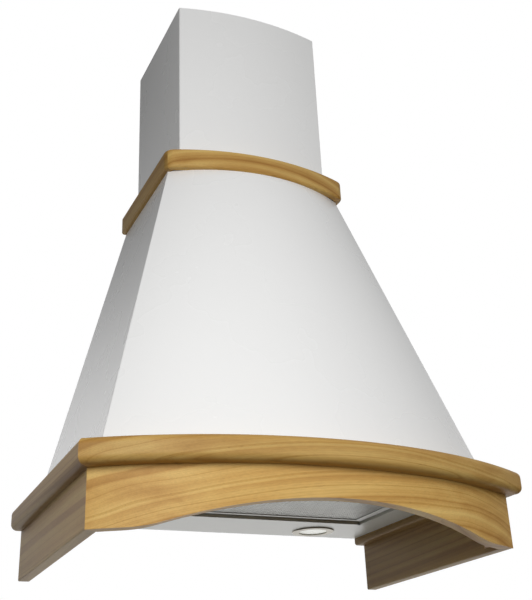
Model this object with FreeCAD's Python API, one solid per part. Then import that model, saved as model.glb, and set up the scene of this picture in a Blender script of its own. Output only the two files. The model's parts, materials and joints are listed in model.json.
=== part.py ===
import FreeCAD, Part
import math
import os

from FreeCAD import Vector

# A wall-mounted range hood: a white painted steel dome and chimney trimmed with oak.
# X runs to the right, Y runs back to the wall at Y = 0 and Z runs up. The origin is the
# centre of the four wall-fixing holes, on the wall plane. All sizes are in millimetres.

# ---------------------------------------------------------------- oak cap and apron
cap_width = 600.0               # overall width of the hood
cap_side_depth = 380.0          # wall to the cap's front corner
cap_bow = 79.0                  # how far the front bows out past its corners
cap_thickness = 30.0
cap_outer_round = 9.0
cap_inner_round = 4.0

board_height = 68.5
board_thickness = 16.5
board_side_setback = 15.0       # cap overhang at the sides
board_front_setback = 17.0      # cap overhang at the front corners
board_bow = 77.0
board_edge_round = 2.0
arch_rise = 32.5
arch_half_span = 244.0          # centre to where the arch meets the flat foot
arch_turn = 208.0               # centre to where the arch's curve reverses

dowel_radius = 4.0
dowel_depth = 14.0              # in each of the two pieces that it joins
corner_block_side = 30.0
corner_block_gap = 6.0          # block stops this far above the boards' bottom edge
dowel_side_shares = (0.2, 0.75)         # along a side, from the wall to the front corner
dowel_front_shares = (0.25, 0.75)       # along half the front, from the middle

# ---------------------------------------------------------------- dome, chimney and collar
dome_height = 467.5
dome_bottom_width = 533.0
dome_bottom_side_depth = 345.0
dome_bottom_bow = 78.0
dome_top_width = 286.0
dome_top_side_depth = 218.5
dome_top_bow = 41.5
dome_flange = 13.0              # turned in at the bottom and at the rear
dome_top_flange = 8.0
dome_bend = 2.0                 # bend radius of the front corners
sheet = 1.0                     # painted steel sheet
back_plate_thickness = 1.5

chimney_width = 247.0
chimney_side_depth = 217.0
chimney_bow = 16.5
chimney_rise = 291.0            # seen above the collar
chimney_tuck = 45.0             # hidden below the neck plate at rest
chimney_bend = 2.5
chimney_return = 18.0           # flange turned in at the wall
chimney_wall_gap = 2.0
chimney_clearance = 0.5

collar_width = 300.0
collar_side_depth = 232.0
collar_bow = 31.0
collar_height = 32.0
collar_thickness = 14.0
collar_corner = 17.0            # plan radius of the front corners
collar_round = 4.0
cleat_leg = 9.0
cleat_length = 24.0
cleat_sheet = 1.2
cleat_rim = 2.0                 # cleat's edge above its screw's head
cleat_side_shares = (0.25, 0.7)
cleat_front_share = 0.45

# ---------------------------------------------------------------- underside and filter
cap_overlap = 14.5              # dome's bottom edge to the cap's inner edge
pan_rise = 10.5                 # underside panel above the cap's bottom face
pan_gap = 0.3
pan_flange = 8.0
opening_half_width = 206.0
opening_rear = 102.0            # from the wall
opening_depth = 228.0
opening_flange = 16.0
relief_notch = 5.0              # hole at the opening's bent corners
filter_gap = 1.2
filter_thickness = 10.0
filter_recess = 4.0
filter_lip = 12.0
filter_sheet = 1.0
filter_pin_radius = 2.0
filter_pin_reach = 3.0
filter_pin_root = 1.0           # pin's root inside the frame's side
pin_clearance = 0.06
handle_width = 70.0
handle_depth = 24.0
finger_width = 40.0
finger_depth = 16.0
mesh_thickness = 0.8
mesh_pitch_x = 30.0             # long way of the mesh's diamonds
mesh_pitch_y = 15.0
mesh_strand = 2.8
bolt_width = 12.0
bolt_thickness = 3.0
bolt_length = 17.0
bolt_travel = 5.0
bolt_clearance = 0.2
bolt_nose_gap = 0.3             # bolt's nose to the wall of the filter opening
bolt_slot_gap = 1.0             # round the bolt, in the pan's slot for it
bolt_tab = 3.0                  # finger tab's thickness
bolt_tab_gap = 1.0              # round the tab, in its finger pocket
spring_room = 2.0               # left for the latch spring when the bolt is drawn back
latch_spring_radius = 1.2
latch_wire_radius = 0.25
latch_spring_turns = 6

# ---------------------------------------------------------------- lamps
lamp_spacing = 312.0
lamp_wall_distance = 42.0
lamp_ring_radius = 32.5
lamp_ring_drop = 2.0
lamp_ring_edge = 1.4
lamp_window_radius = 21.8
lamp_barrel_radius = 27.0
lamp_barrel_wall = 2.5
lamp_barrel_height = 14.0
lamp_cup_height = 26.0
lens_thickness = 3.0
bulb_radius = 4.5
bulb_length = 22.0
clip_width = 8.0
clip_foot = 6.0
clip_height = 11.0

# ---------------------------------------------------------------- controls
button_count = 5
button_pitch = 27.0
button_width = 18.0
button_depth = 11.0
button_height = 12.0
button_proud = 4.5
button_travel = 3.0
button_clearance = 0.3
button_edge_round = 1.0
bezel_margin = 7.0
bezel_thickness = 2.0
bezel_edge_round = 1.2
control_wall = 1.6
control_margin = 2.0            # round the row of buttons, inside the switch case
control_height = 26.0

# ---------------------------------------------------------------- blower
fan_axis_rise = 133.5           # above the cap's top face
fan_wall_distance = 184.0       # impeller axis to the wall
scroll_start_radius = 87.0
scroll_step = 12.0              # growth of the scroll's radius at each quarter turn
scroll_width = 170.0
scroll_wall = 2.0
scroll_top_rise = 105.0         # outlet's rim above the impeller axis
outlet_inner_offset = 8.0       # outlet's front wall behind the impeller axis
inlet_radius = 66.0
impeller_radius = 74.0
impeller_width = 140.0
impeller_ring = 5.0
impeller_sheet = 2.0
blade_count = 28
blade_thickness = 1.2
blade_angle = 28.0              # blade's lean, forward of radial
blade_reach = 4.0               # blade's inner edge inside the rings
blade_tip_gap = 0.5
disc_radius = 71.0              # blades stand in notches in its edge
hub_radius = 11.0
hub_gap = 2.0                   # hub to the motor's boss
hub_width = 20.0
shaft_radius = 4.0
shaft_clearance = 0.05
shaft_end = 4.0                 # shaft's end past the hub
motor_radius = 40.0
motor_edge_round = 3.0
motor_length = 84.0
motor_boss_radius = 13.0
motor_boss_length = 6.0
bracket_sheet = 2.0
bracket_ring = 5.0
bracket_lip = 1.0               # spider's rim inside the inlet
bracket_sleeve = 10.0
bracket_arm_width = 10.0
bracket_arms = 3
mount_flange = 24.0
mount_height = 60.0
mount_sheet = 1.5
mount_rim_gap = 3.0             # blower bracket's end to the spider's rim
mount_screw_offset = 14.4       # wall screw to the scroll's side
mount_screw_shares = (0.2, 0.8)

# ---------------------------------------------------------------- outlet and flaps
spigot_radius = 59.5            # outside, for a 120 mm duct
spigot_wall = 2.0
spigot_length = 48.0
spigot_taper = 22.0
spigot_base = 3.0
flap_ledge = 3.0
flap_ledge_thickness = 1.5
flap_thickness = 1.5
flap_gap = 0.6
flap_pin_radius = 1.5
flap_knuckle_radius = 3.2
flap_knuckle_length = 12.0
flap_stagger = 17.0             # centre to a knuckle of the rear flap
flap_pitch = 13.0               # between neighbouring knuckles
flap_stiffener = 1.0
flap_stiffener_height = 2.0
flap_pin_seat = 1.0             # pin's end in the spigot's wall

# ---------------------------------------------------------------- wall fixing and electrics
wall_hole_spacing_x = 300.0
wall_hole_spacing_z = 310.0
wall_hole_radius = 4.0
wall_centre_height = 285.0      # origin above the boards' bottom edge
bracket_height = 30.0
bracket_drop = 22.0             # chimney bracket's top below the chimney's top
bracket_strap = 1.5
bracket_hole_spacing = 160.0
bracket_hole_radius = 3.0
tongue_lap = 12.0
terminal_width = 60.0
terminal_height = 84.0
terminal_depth = 35.0
terminal_wall = 2.0
terminal_offset = 80.0          # hood's centre to the box's near side
terminal_rise = 166.5           # above the cap's top face, clear of the blower's brackets
terminal_edge_round = 1.2
gland_radius = 9.0
gland_stem_radius = 6.3
gland_bore = 3.5
gland_length = 20.0
gland_nut_length = 7.0
capacitor_radius = 15.0
capacitor_offset = 128.0        # hood's centre to the can's near side
capacitor_length = 62.0
capacitor_strap = 12.0
capacitor_ear = 8.0
capacitor_edge_round = 1.5

# ---------------------------------------------------------------- small fasteners
screw_radius = 1.9
screw_head_radius = 3.6
screw_head_height = 2.2
screw_hole_gap = 0.1
wood_screw_length = 18.0
sheet_screw_length = 7.0
trim_side_shares = (0.12, 0.5, 0.88)    # screws along a side of the dome's flange
trim_front_shares = (0.28, 0.8)
seat_gap = 0.2                  # between pieces that seat on raking or curved faces
overcut = 20.0                  # how far a cutting solid runs past what it cuts
shallow_cut = 5.0               # the same, where something lies close behind
overturn = 4.0                  # the same for a turned solid, in degrees
tolerance = 0.01                # for telling edges apart by their place

# ---------------------------------------------------------------- levels
z_bottom = -wall_centre_height
z_cap = z_bottom + board_height
z_dome = z_cap + cap_thickness
z_neck = z_dome + dome_height
z_collar = z_neck + sheet
z_chimney_top = z_collar + collar_height + chimney_rise
z_pan = z_cap + pan_rise
z_filter = z_pan + filter_recess
z_fan = z_dome + fan_axis_rise
y_fan = -fan_wall_distance
y_panel = -back_plate_thickness


class Plan:
    """A plan outline: two straight sides square to the wall and a bowed front."""

    def __init__(self, half, centre_y, radius):
        self.half = half
        self.centre_y = centre_y
        self.radius = radius

    def corner_y(self):
        return self.front_y_at(self.half)

    def front_y_at(self, x):
        return self.centre_y - math.sqrt(self.radius ** 2 - x ** 2)

    def inset(self, distance):
        return Plan(self.half - distance, self.centre_y, self.radius - distance)

    def wire(self, z, rear_y):
        left_rear = Vector(-self.half, rear_y, z)
        right_rear = Vector(self.half, rear_y, z)
        left_front = Vector(-self.half, self.corner_y(), z)
        right_front = Vector(self.half, self.corner_y(), z)
        front = Vector(0, self.centre_y - self.radius, z)
        return Part.Wire([
            Part.LineSegment(right_rear, left_rear).toShape(),
            Part.LineSegment(left_rear, left_front).toShape(),
            Part.Arc(left_front, front, right_front).toShape(),
            Part.LineSegment(right_front, right_rear).toShape(),
        ])

    def slab(self, z_low, z_high, rear_y=0.0):
        return Part.Face(self.wire(z_low, rear_y)).extrude(Vector(0, 0, z_high - z_low))


def bowed_plan(width, side_depth, bow):
    half = width / 2
    radius = (half ** 2 + bow ** 2) / (2 * bow)
    return Plan(half, radius - side_depth - bow, radius)


cap_plan = bowed_plan(cap_width, cap_side_depth, cap_bow)
board_plan = bowed_plan(cap_width - 2 * board_side_setback,
                        cap_side_depth - board_front_setback, board_bow)
dome_bottom_plan = bowed_plan(dome_bottom_width, dome_bottom_side_depth, dome_bottom_bow)
dome_top_plan = bowed_plan(dome_top_width, dome_top_side_depth, dome_top_bow)
chimney_plan = bowed_plan(chimney_width, chimney_side_depth, chimney_bow)
collar_plan = bowed_plan(collar_width, collar_side_depth, collar_bow)
cap_inner_plan = dome_bottom_plan.inset(cap_overlap)
pan_plan = cap_inner_plan.inset(pan_gap)


# ---------------------------------------------------------------- helpers
def block(x_low, x_high, y_low, y_high, z_low, z_high):
    corner = Vector(x_low, y_low, z_low)
    return Part.makeBox(x_high - x_low, y_high - y_low, z_high - z_low, corner)


def rod(radius, start, axis, length):
    return Part.makeCylinder(radius, length, Vector(*start), Vector(*axis))


def tube(outer, inner, start, axis, length):
    return rod(outer, start, axis, length).cut(rod(inner, start, axis, length))


def prism_xz(points, y_low, y_high):
    corners = [Vector(x, y_low, z) for x, z in points]
    face = Part.Face(Part.makePolygon(corners + corners[:1]))
    return face.extrude(Vector(0, y_high - y_low, 0))


def joined(shapes):
    whole = shapes[0].fuse(shapes[1:]) if len(shapes) > 1 else shapes[0]
    return whole.removeSplitter()


def cut_away(shape, tools):
    return shape.cut(tools).removeSplitter()


def mirrored(shape):
    return shape.mirror(Vector(0, 0, 0), Vector(1, 0, 0))


def group(shapes):
    return Part.makeCompound(shapes)


def screw(head_seat, axis, length):
    """A pan-head screw: its head stands on head_seat and its shank runs along axis."""
    back = [-component for component in axis]
    head = rod(screw_head_radius, head_seat, back, screw_head_height)
    shank = rod(screw_radius, head_seat, axis, length)
    return joined([head, shank])


def screw_hole(head_seat, axis, length):
    start = [point - component * shallow_cut for point, component in zip(head_seat, axis)]
    return rod(screw_radius + screw_hole_gap, start, axis, length + shallow_cut + screw_hole_gap)


def mitre_wedge(outer, inner, z_low, z_high):
    """The ground in front of the two mitre lines of a mitred frame."""
    run_x = outer.half - inner.half
    run_y = outer.corner_y() - inner.corner_y()
    apex_y = inner.corner_y() - inner.half * run_y / run_x
    reach = outer.half + overcut
    reach_y = apex_y + reach * run_y / run_x
    front_y = outer.centre_y - outer.radius - overcut
    points = [Vector(0, apex_y, z_low), Vector(reach, reach_y, z_low),
              Vector(reach, front_y, z_low), Vector(-reach, front_y, z_low),
              Vector(-reach, reach_y, z_low)]
    face = Part.Face(Part.makePolygon(points + points[:1]))
    return face.extrude(Vector(0, 0, z_high - z_low))


def moulding_outline(width, height, outer_round, inner_low_round, inner_high_round, place):
    """A moulding's section: place(u, v) puts u in from the outer face and v up."""
    slant = math.sqrt(0.5)

    def corner(u, v, radius, toward_u, toward_v, u_first):
        edge_u = place(u + toward_u * radius, v)
        edge_v = place(u, v + toward_v * radius)
        middle = place(u + toward_u * radius * (1 - slant), v + toward_v * radius * (1 - slant))
        ends = (edge_u, edge_v) if u_first else (edge_v, edge_u)
        return ends[0], middle, ends[1]

    corners = [corner(0, 0, outer_round, 1, 1, True),
               corner(0, height, outer_round, 1, -1, False),
               corner(width, height, inner_high_round, -1, -1, True),
               corner(width, 0, inner_low_round, -1, 1, False)]
    edges = []
    for index, (start, middle, end) in enumerate(corners):
        edges.append(Part.Arc(start, middle, end).toShape())
        following = corners[(index + 1) % len(corners)][0]
        edges.append(Part.LineSegment(end, following).toShape())
    return Part.Face(Part.Wire(edges))


def turned(face, centre_x, centre_y, start_degrees, sweep_degrees):
    """A section standing at start, swept round an upright axis."""
    axis_point = Vector(centre_x, centre_y, 0)
    moved = face.copy()
    moved.rotate(axis_point, Vector(0, 0, 1), start_degrees)
    return moved.revolve(axis_point, Vector(0, 0, 1), sweep_degrees)


# ---------------------------------------------------------------- oak cap moulding
def dowel_places():
    """Dowel centres along the middle of the apron's boards, in plan."""
    middle = board_plan.inset(board_thickness / 2)
    places = []
    for share in dowel_side_shares:
        y = share * board_plan.corner_y()
        places += [(middle.half, y), (-middle.half, y)]
    for share in dowel_front_shares:
        x = share * middle.half
        places += [(x, middle.front_y_at(x)), (-x, middle.front_y_at(x))]
    return places


def dowel_holes():
    hole_depth = dowel_depth + seat_gap
    return [rod(dowel_radius, (x, y, z_cap - hole_depth), (0, 0, 1), 2 * hole_depth)
            for x, y in dowel_places()]


def dowels():
    return group([rod(dowel_radius, (x, y, z_cap - dowel_depth), (0, 0, 1), 2 * dowel_depth)
                  for x, y in dowel_places()])


def trim_screw_places():
    """Screws down through the dome's bottom flange into the cap, in plan."""
    line = pan_plan.inset(-(sheet + pan_flange) / 2)
    places = []
    for share in trim_side_shares:
        y = share * line.corner_y()
        places += [(line.half, y), (-line.half, y)]
    for share in trim_front_shares:
        x = share * line.half
        places += [(x, line.front_y_at(x)), (-x, line.front_y_at(x))]
    return places


def trim_screw_seats():
    return [(x, y, z_dome + 2 * sheet) for x, y in trim_screw_places()]


def trim_screw_holes():
    return [screw_hole(seat, (0, 0, -1), wood_screw_length) for seat in trim_screw_seats()]


def cap_pieces():
    side_width = cap_plan.half - cap_inner_plan.half

    def side_place(u, v):
        return Vector(-cap_plan.half + u, 0, z_cap + v)

    def front_place(u, v):
        return Vector(0, cap_plan.centre_y - cap_plan.radius + u, z_cap + v)

    side_face = moulding_outline(side_width, cap_thickness, cap_outer_round,
                                 cap_inner_round, board_edge_round, side_place)
    left = side_face.extrude(Vector(0, cap_plan.corner_y() - overcut, 0))
    front_width = cap_inner_plan.corner_y() - cap_plan.corner_y() + 2 * cap_overlap
    front_face = moulding_outline(front_width, cap_thickness, cap_outer_round,
                                  cap_inner_round, board_edge_round, front_place)
    half_angle = math.degrees(math.asin(cap_plan.half / cap_plan.radius)) + overturn
    front = turned(front_face, 0, cap_plan.centre_y, -half_angle, 2 * half_angle)
    front = front.cut(cap_inner_plan.slab(z_cap - overcut, z_dome + overcut, overcut))

    wedge = mitre_wedge(cap_plan, cap_inner_plan, z_cap - overcut, z_dome + overcut)
    front = front.common(wedge)
    left = left.cut(wedge)
    holes = dowel_holes() + trim_screw_holes()
    return {
        "cap_front": cut_away(front, holes),
        "cap_left": cut_away(left, holes),
        "cap_right": cut_away(mirrored(left), holes),
    }


# ---------------------------------------------------------------- oak apron
def arch_cutter():
    """The space under the frieze's arch: a flat crown with reversed ends at the feet."""
    turn = 2 * math.atan(arch_rise / arch_half_span)
    crown_radius = arch_turn / math.sin(turn)
    heel_radius = (arch_half_span - arch_turn) / math.sin(turn)
    z_turn = z_bottom + heel_radius * (1 - math.cos(turn))
    half_turn_x = arch_half_span - heel_radius * math.sin(turn / 2)
    z_half_turn = z_bottom + heel_radius * (1 - math.cos(turn / 2))
    y = board_plan.centre_y - board_plan.radius - overcut

    def at(x, z):
        return Vector(x, y, z)

    edges = [
        Part.Arc(at(-arch_half_span, z_bottom), at(-half_turn_x, z_half_turn),
                 at(-arch_turn, z_turn)).toShape(),
        Part.Arc(at(-arch_turn, z_turn), at(0, z_bottom + arch_rise),
                 at(arch_turn, z_turn)).toShape(),
        Part.Arc(at(arch_turn, z_turn), at(half_turn_x, z_half_turn),
                 at(arch_half_span, z_bottom)).toShape(),
        Part.LineSegment(at(arch_half_span, z_bottom),
                         at(arch_half_span, z_bottom - overcut)).toShape(),
        Part.LineSegment(at(arch_half_span, z_bottom - overcut),
                         at(-arch_half_span, z_bottom - overcut)).toShape(),
        Part.LineSegment(at(-arch_half_span, z_bottom - overcut),
                         at(-arch_half_span, z_bottom)).toShape(),
    ]
    return Part.Face(Part.Wire(edges)).extrude(Vector(0, abs(y), 0))


def apron_pieces():
    inner = board_plan.inset(board_thickness)
    ring = board_plan.slab(z_bottom, z_cap).cut(
        inner.slab(z_bottom - overcut, z_cap + overcut, overcut))
    wedge = mitre_wedge(board_plan, inner, z_bottom - overcut, z_cap + overcut)
    front = ring.common(wedge).cut(arch_cutter())
    sides = ring.cut(wedge)
    keep_left = block(-cap_width, 0, -cap_width, overcut, z_bottom - overcut, z_cap + overcut)
    left = sides.common(keep_left)

    def lower_side_edge(edge):
        box = edge.BoundBox
        return box.ZMax < z_bottom + tolerance and box.XLength < tolerance

    left = left.makeFillet(board_edge_round, [e for e in left.Edges if lower_side_edge(e)])
    holes = dowel_holes()
    return {
        "frieze_front": cut_away(front, holes),
        "side_board_left": cut_away(left, holes),
        "side_board_right": cut_away(mirrored(left), holes),
    }


def corner_blocks():
    """Three-sided glue blocks behind the mitres of the apron."""
    inner = board_plan.inset(board_thickness)
    corner_x = inner.half
    corner_y = inner.corner_y()
    inner_x = corner_x - corner_block_side
    points = [Vector(corner_x, corner_y, 0), Vector(corner_x, corner_y + corner_block_side, 0),
              Vector(inner_x, inner.front_y_at(inner_x), 0)]
    face = Part.Face(Part.makePolygon(points + points[:1]))
    face.translate(Vector(0, 0, z_bottom + corner_block_gap))
    right = face.extrude(Vector(0, 0, board_height - corner_block_gap))
    right = right.common(inner.slab(z_bottom, z_cap))
    return group([right, mirrored(right)])


# ---------------------------------------------------------------- oak collar
def collar_pieces():
    side_centre_x = collar_plan.half - collar_corner
    side_centre_y = collar_plan.inset(collar_corner).corner_y()
    front_angle = math.degrees(math.asin(side_centre_x / (collar_plan.radius - collar_corner)))
    mitre_angle = (90 + front_angle) / 2

    def corner_place(u, v):
        return Vector(side_centre_x, side_centre_y - collar_corner + u, z_collar + v)

    def front_place(u, v):
        return Vector(0, collar_plan.centre_y - collar_plan.radius + u, z_collar + v)

    def side_place(u, v):
        return Vector(collar_plan.half - u, side_centre_y, z_collar + v)

    def section(place):
        return moulding_outline(collar_thickness, collar_height, collar_round,
                                collar_round, collar_round, place)

    def corner(start, sweep):
        return turned(section(corner_place), side_centre_x, side_centre_y, start, sweep)

    crown = turned(section(front_place), 0, collar_plan.centre_y, -front_angle, 2 * front_angle)
    front_heel = corner(front_angle, mitre_angle - front_angle)
    side_heel = corner(mitre_angle, 90 - mitre_angle)
    side = section(side_place).extrude(Vector(0, -side_centre_y, 0))
    right = joined([side, side_heel])
    front = joined([crown, front_heel, mirrored(front_heel)])
    holes = [screw_hole(seat, axis, sheet_screw_length) for seat, axis in collar_screw_seats()]
    return {
        "collar_front": cut_away(front, holes),
        "collar_left": cut_away(mirrored(right), holes),
        "collar_right": cut_away(right, holes),
    }


def cleat_frames():
    """Where each cleat touches the collar's inner face, and the way out through it."""
    inner = collar_plan.inset(collar_thickness)
    frames = []
    for share in cleat_side_shares:
        y = share * collar_plan.corner_y()
        frames.append(((inner.half, y), (1, 0)))
        frames.append(((-inner.half, y), (-1, 0)))
    x = cleat_front_share * inner.half
    for side_x in (-x, x):
        y = inner.front_y_at(x)
        out = (side_x / inner.radius, (y - inner.centre_y) / inner.radius)
        frames.append(((side_x, y), out))
    return frames


def collar_screw_seats():
    seats = []
    for (x, y), (out_x, out_y) in cleat_frames():
        back = cleat_sheet + seat_gap
        seat = (x - out_x * back, y - out_y * back, z_collar + collar_height / 2)
        seats.append((seat, (out_x, out_y, 0)))
    return seats


def collar_cleats():
    cleats = []
    for (x, y), (out_x, out_y) in cleat_frames():
        z_top = z_collar + collar_height / 2 + screw_head_radius + cleat_rim
        upright = block(-cleat_length / 2, cleat_length / 2, seat_gap,
                        seat_gap + cleat_sheet, z_collar, z_top)
        foot = block(-cleat_length / 2, cleat_length / 2, seat_gap,
                     seat_gap + cleat_leg, z_collar, z_collar + cleat_sheet)
        cleat = joined([upright, foot])
        cleat.rotate(Vector(0, 0, 0), Vector(0, 0, 1), math.degrees(math.atan2(out_x, -out_y)))
        cleat.translate(Vector(x, y, 0))
        cleats.append(cleat)
    holes = [screw_hole(seat, axis, sheet_screw_length) for seat, axis in collar_screw_seats()]
    return group([cleat.cut(hole) for cleat, hole in zip(cleats, holes)])


def collar_screws():
    return group([screw(seat, axis, sheet_screw_length) for seat, axis in collar_screw_seats()])


# ---------------------------------------------------------------- dome
def dome_solid(inset, rear_y):
    wires = [dome_bottom_plan.inset(inset).wire(z_dome, rear_y),
             dome_top_plan.inset(inset).wire(z_neck, rear_y)]
    return Part.makeLoft(wires, True, True)


def dome_half_width(z):
    share = (z - z_dome) / dome_height
    return dome_bottom_plan.half + share * (dome_top_plan.half - dome_bottom_plan.half)


def dome_shell():
    rear_y = y_panel
    outer = dome_solid(0, rear_y)

    def front_bend(edge):
        box = edge.BoundBox
        return box.ZLength > dome_height / 2 and box.YMax < dome_top_plan.corner_y() + 1

    outer = outer.makeFillet(dome_bend, [e for e in outer.Edges if front_bend(e)])
    shell = outer.cut([dome_solid(sheet, rear_y - sheet), dome_solid(dome_flange, overcut)])
    half_sheet = sheet / 2
    bottom = dome_bottom_plan.inset(half_sheet).slab(z_dome, z_dome + sheet, rear_y - half_sheet)
    bottom = bottom.cut(dome_bottom_plan.inset(dome_flange).slab(
        z_dome - overcut, z_dome + overcut, overcut))
    top = dome_top_plan.inset(half_sheet).slab(z_neck - sheet, z_neck, rear_y - half_sheet)
    top = top.cut(dome_top_plan.inset(dome_top_flange).slab(
        z_neck - overcut, z_neck + overcut, overcut))
    shell = joined([shell, bottom, top])
    return cut_away(shell, trim_screw_holes())


def wall_hole_places():
    return [(side_x * wall_hole_spacing_x / 2, side_z * wall_hole_spacing_z / 2)
            for side_x in (-1, 1) for side_z in (-1, 1)]


def back_plate():
    wide = prism_xz([(-dome_half_width(z_dome), z_dome), (dome_half_width(z_dome), z_dome),
                     (dome_half_width(z_neck), z_neck), (-dome_half_width(z_neck), z_neck)],
                    y_panel, 0)
    tail = block(-pan_plan.half, pan_plan.half, y_panel, 0, z_pan, z_dome + sheet)
    holes = [rod(wall_hole_radius, (x, -overcut, z), (0, 1, 0), 2 * overcut)
             for x, z in wall_hole_places()]
    holes += [screw_hole(seat, axis, sheet_screw_length) for seat, axis in mount_screw_seats()]
    return cut_away(joined([wide, tail]), holes)


def neck_plate():
    plate = dome_top_plan.slab(z_neck, z_collar)
    hole = chimney_plan.inset(-chimney_clearance).slab(z_neck - overcut, z_collar + overcut, overcut)
    return cut_away(plate, [hole])


# ---------------------------------------------------------------- chimney
def chimney_cover():
    rear_y = -chimney_wall_gap
    z_low = z_neck - chimney_tuck
    outer = chimney_plan.slab(z_low, z_chimney_top, rear_y)

    def front_bend(edge):
        box = edge.BoundBox
        return box.ZLength > chimney_rise and box.YMax < chimney_plan.corner_y() + 1

    outer = outer.makeFillet(chimney_bend, [e for e in outer.Edges if front_bend(e)])
    hollow = chimney_plan.inset(sheet).slab(z_low - overcut, z_chimney_top + overcut,
                                            rear_y - sheet)
    slot_half = chimney_plan.half - chimney_return
    slot = block(-slot_half, slot_half, rear_y - overcut, overcut,
                 z_low - overcut, z_chimney_top + overcut)
    return cut_away(outer, [hollow, slot])


def chimney_bracket():
    """A wall strap whose two stepped tongues hold the chimney's rear returns."""
    z_high = z_chimney_top - bracket_drop
    z_low = z_high - bracket_height
    slot_half = chimney_plan.half - chimney_return
    strap_half = slot_half - seat_gap
    strap = block(-strap_half, strap_half, -bracket_strap, 0, z_low, z_high)
    tongue_y = -chimney_wall_gap - sheet - seat_gap
    step = block(strap_half - bracket_strap, strap_half, tongue_y - bracket_strap, 0,
                 z_low, z_high)
    tongue = block(strap_half - bracket_strap, slot_half + tongue_lap,
                   tongue_y - bracket_strap, tongue_y, z_low, z_high)
    whole = joined([strap, step, tongue, mirrored(step), mirrored(tongue)])
    z_hole = (z_low + z_high) / 2
    holes = [rod(bracket_hole_radius, (x, -overcut, z_hole), (0, 1, 0), 2 * overcut)
             for x in (-bracket_hole_spacing / 2, bracket_hole_spacing / 2)]
    return cut_away(whole, holes)


# ---------------------------------------------------------------- underside panel
def opening_block(grow, z_low, z_high):
    return block(-opening_half_width - grow, opening_half_width + grow,
                 -opening_rear - opening_depth - grow, -opening_rear + grow, z_low, z_high)


def filter_pin_y():
    return -opening_rear - filter_gap - filter_thickness / 2


def filter_pin_z():
    return z_filter + filter_thickness / 2


def lamp_places():
    return {"left": -lamp_spacing / 2, "right": lamp_spacing / 2}


def control_y():
    """The middle of the front strip, between the filter opening and the pan's front wall."""
    return (pan_plan.centre_y - pan_plan.radius - opening_rear - opening_depth) / 2


def control_half_x():
    row = (button_count - 1) * button_pitch + button_width
    return row / 2 + control_wall + control_margin


def control_half_y():
    return button_depth / 2 + control_wall + control_margin


def filter_pan():
    rear_y = y_panel
    z_rim = z_dome + sheet
    floor = pan_plan.slab(z_pan, z_pan + sheet, rear_y)
    walls = pan_plan.slab(z_pan, z_rim + sheet, rear_y).cut(
        pan_plan.inset(sheet).slab(z_pan - overcut, z_dome + overcut, rear_y - sheet))
    rim = pan_plan.inset(-pan_flange).slab(z_rim, z_rim + sheet, rear_y - dome_flange).cut(
        pan_plan.inset(sheet / 2).slab(z_dome - overcut, z_dome + overcut, overcut))
    curb = opening_block(sheet, z_pan, z_pan + opening_flange)
    pan = joined([floor, walls, rim, curb])

    cuts = [opening_block(0, z_pan - overcut, z_dome + overcut)]
    for side in (-1, 1):
        x = side * opening_half_width
        notch = block(x - relief_notch / 2, x + relief_notch / 2,
                      -opening_rear - sheet, -opening_rear + relief_notch / 2,
                      z_pan - overcut, z_filter)
        pin_hole = rod(filter_pin_radius + pin_clearance,
                       (x - overcut, filter_pin_y(), filter_pin_z()), (1, 0, 0), 2 * overcut)
        cuts += [notch, pin_hole]
    latch_y = -opening_rear - opening_depth
    slot_half = bolt_width / 2 + bolt_slot_gap
    cuts.append(block(-slot_half, slot_half, latch_y - shallow_cut, latch_y + shallow_cut,
                      bolt_z() - bolt_slot_gap, bolt_z() + bolt_thickness + bolt_slot_gap))
    for x in lamp_places().values():
        cuts.append(rod(lamp_barrel_radius + seat_gap,
                        (x, -lamp_wall_distance, z_pan - overcut), (0, 0, 1), 2 * overcut))
    half_x = control_half_x()
    half_y = control_half_y()
    cuts.append(block(-half_x - seat_gap, half_x + seat_gap,
                      control_y() - half_y - seat_gap, control_y() + half_y + seat_gap,
                      z_pan - overcut, z_pan + overcut))
    return cut_away(pan, cuts + trim_screw_holes())


# ---------------------------------------------------------------- grease filter
def filter_extent():
    """Half width, rear and front of the filter's frame."""
    rear = -opening_rear - filter_gap
    front = -opening_rear - opening_depth + filter_gap
    return opening_half_width - filter_gap, rear, front


def handle_block(grow):
    front = filter_extent()[2] + filter_sheet
    return block(-handle_width / 2 - grow, handle_width / 2 + grow, front,
                 front + handle_depth + grow, z_filter - grow, z_filter + filter_thickness + grow)


def bolt_z():
    return z_filter + filter_thickness / 2 + bolt_clearance


def bolt_front():
    return -opening_rear - opening_depth + bolt_nose_gap


def filter_frame():
    half, rear, front = filter_extent()
    z_low = z_filter
    z_high = z_filter + filter_thickness
    pin_y = filter_pin_y()
    body = block(-half, half, front, pin_y, z_low, z_high)
    nose = rod(filter_thickness / 2, (-half, pin_y, filter_pin_z()), (1, 0, 0), 2 * half)
    frame = joined([body, nose])
    window = block(-half + filter_lip, half - filter_lip, front + filter_lip,
                   rear - filter_lip, z_low - overcut, z_high + overcut)
    pocket = block(-half + filter_sheet, half - filter_sheet, front + filter_sheet,
                   pin_y, z_low + filter_sheet, z_high - filter_sheet)
    bolt_slot = block(-bolt_width / 2 - bolt_clearance, bolt_width / 2 + bolt_clearance,
                      front - overcut, front + overcut, bolt_z() - bolt_clearance,
                      bolt_z() + bolt_thickness + bolt_clearance)
    frame = cut_away(frame, [window, pocket, handle_block(seat_gap), bolt_slot])
    pin_length = filter_pin_root + filter_gap + sheet + filter_pin_reach
    pins = [rod(filter_pin_radius, (side * (half - filter_pin_root), pin_y, filter_pin_z()),
                (side, 0, 0), pin_length) for side in (-1, 1)]
    return joined([frame] + pins)


def diamond(x, y, z):
    half_x = mesh_pitch_x / 2 - mesh_strand
    half_y = mesh_pitch_y / 2 - mesh_strand / 2
    points = [Vector(x - half_x, y, z), Vector(x, y + half_y, z),
              Vector(x + half_x, y, z), Vector(x, y - half_y, z)]
    return Part.makePolygon(points + points[:1])


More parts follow.
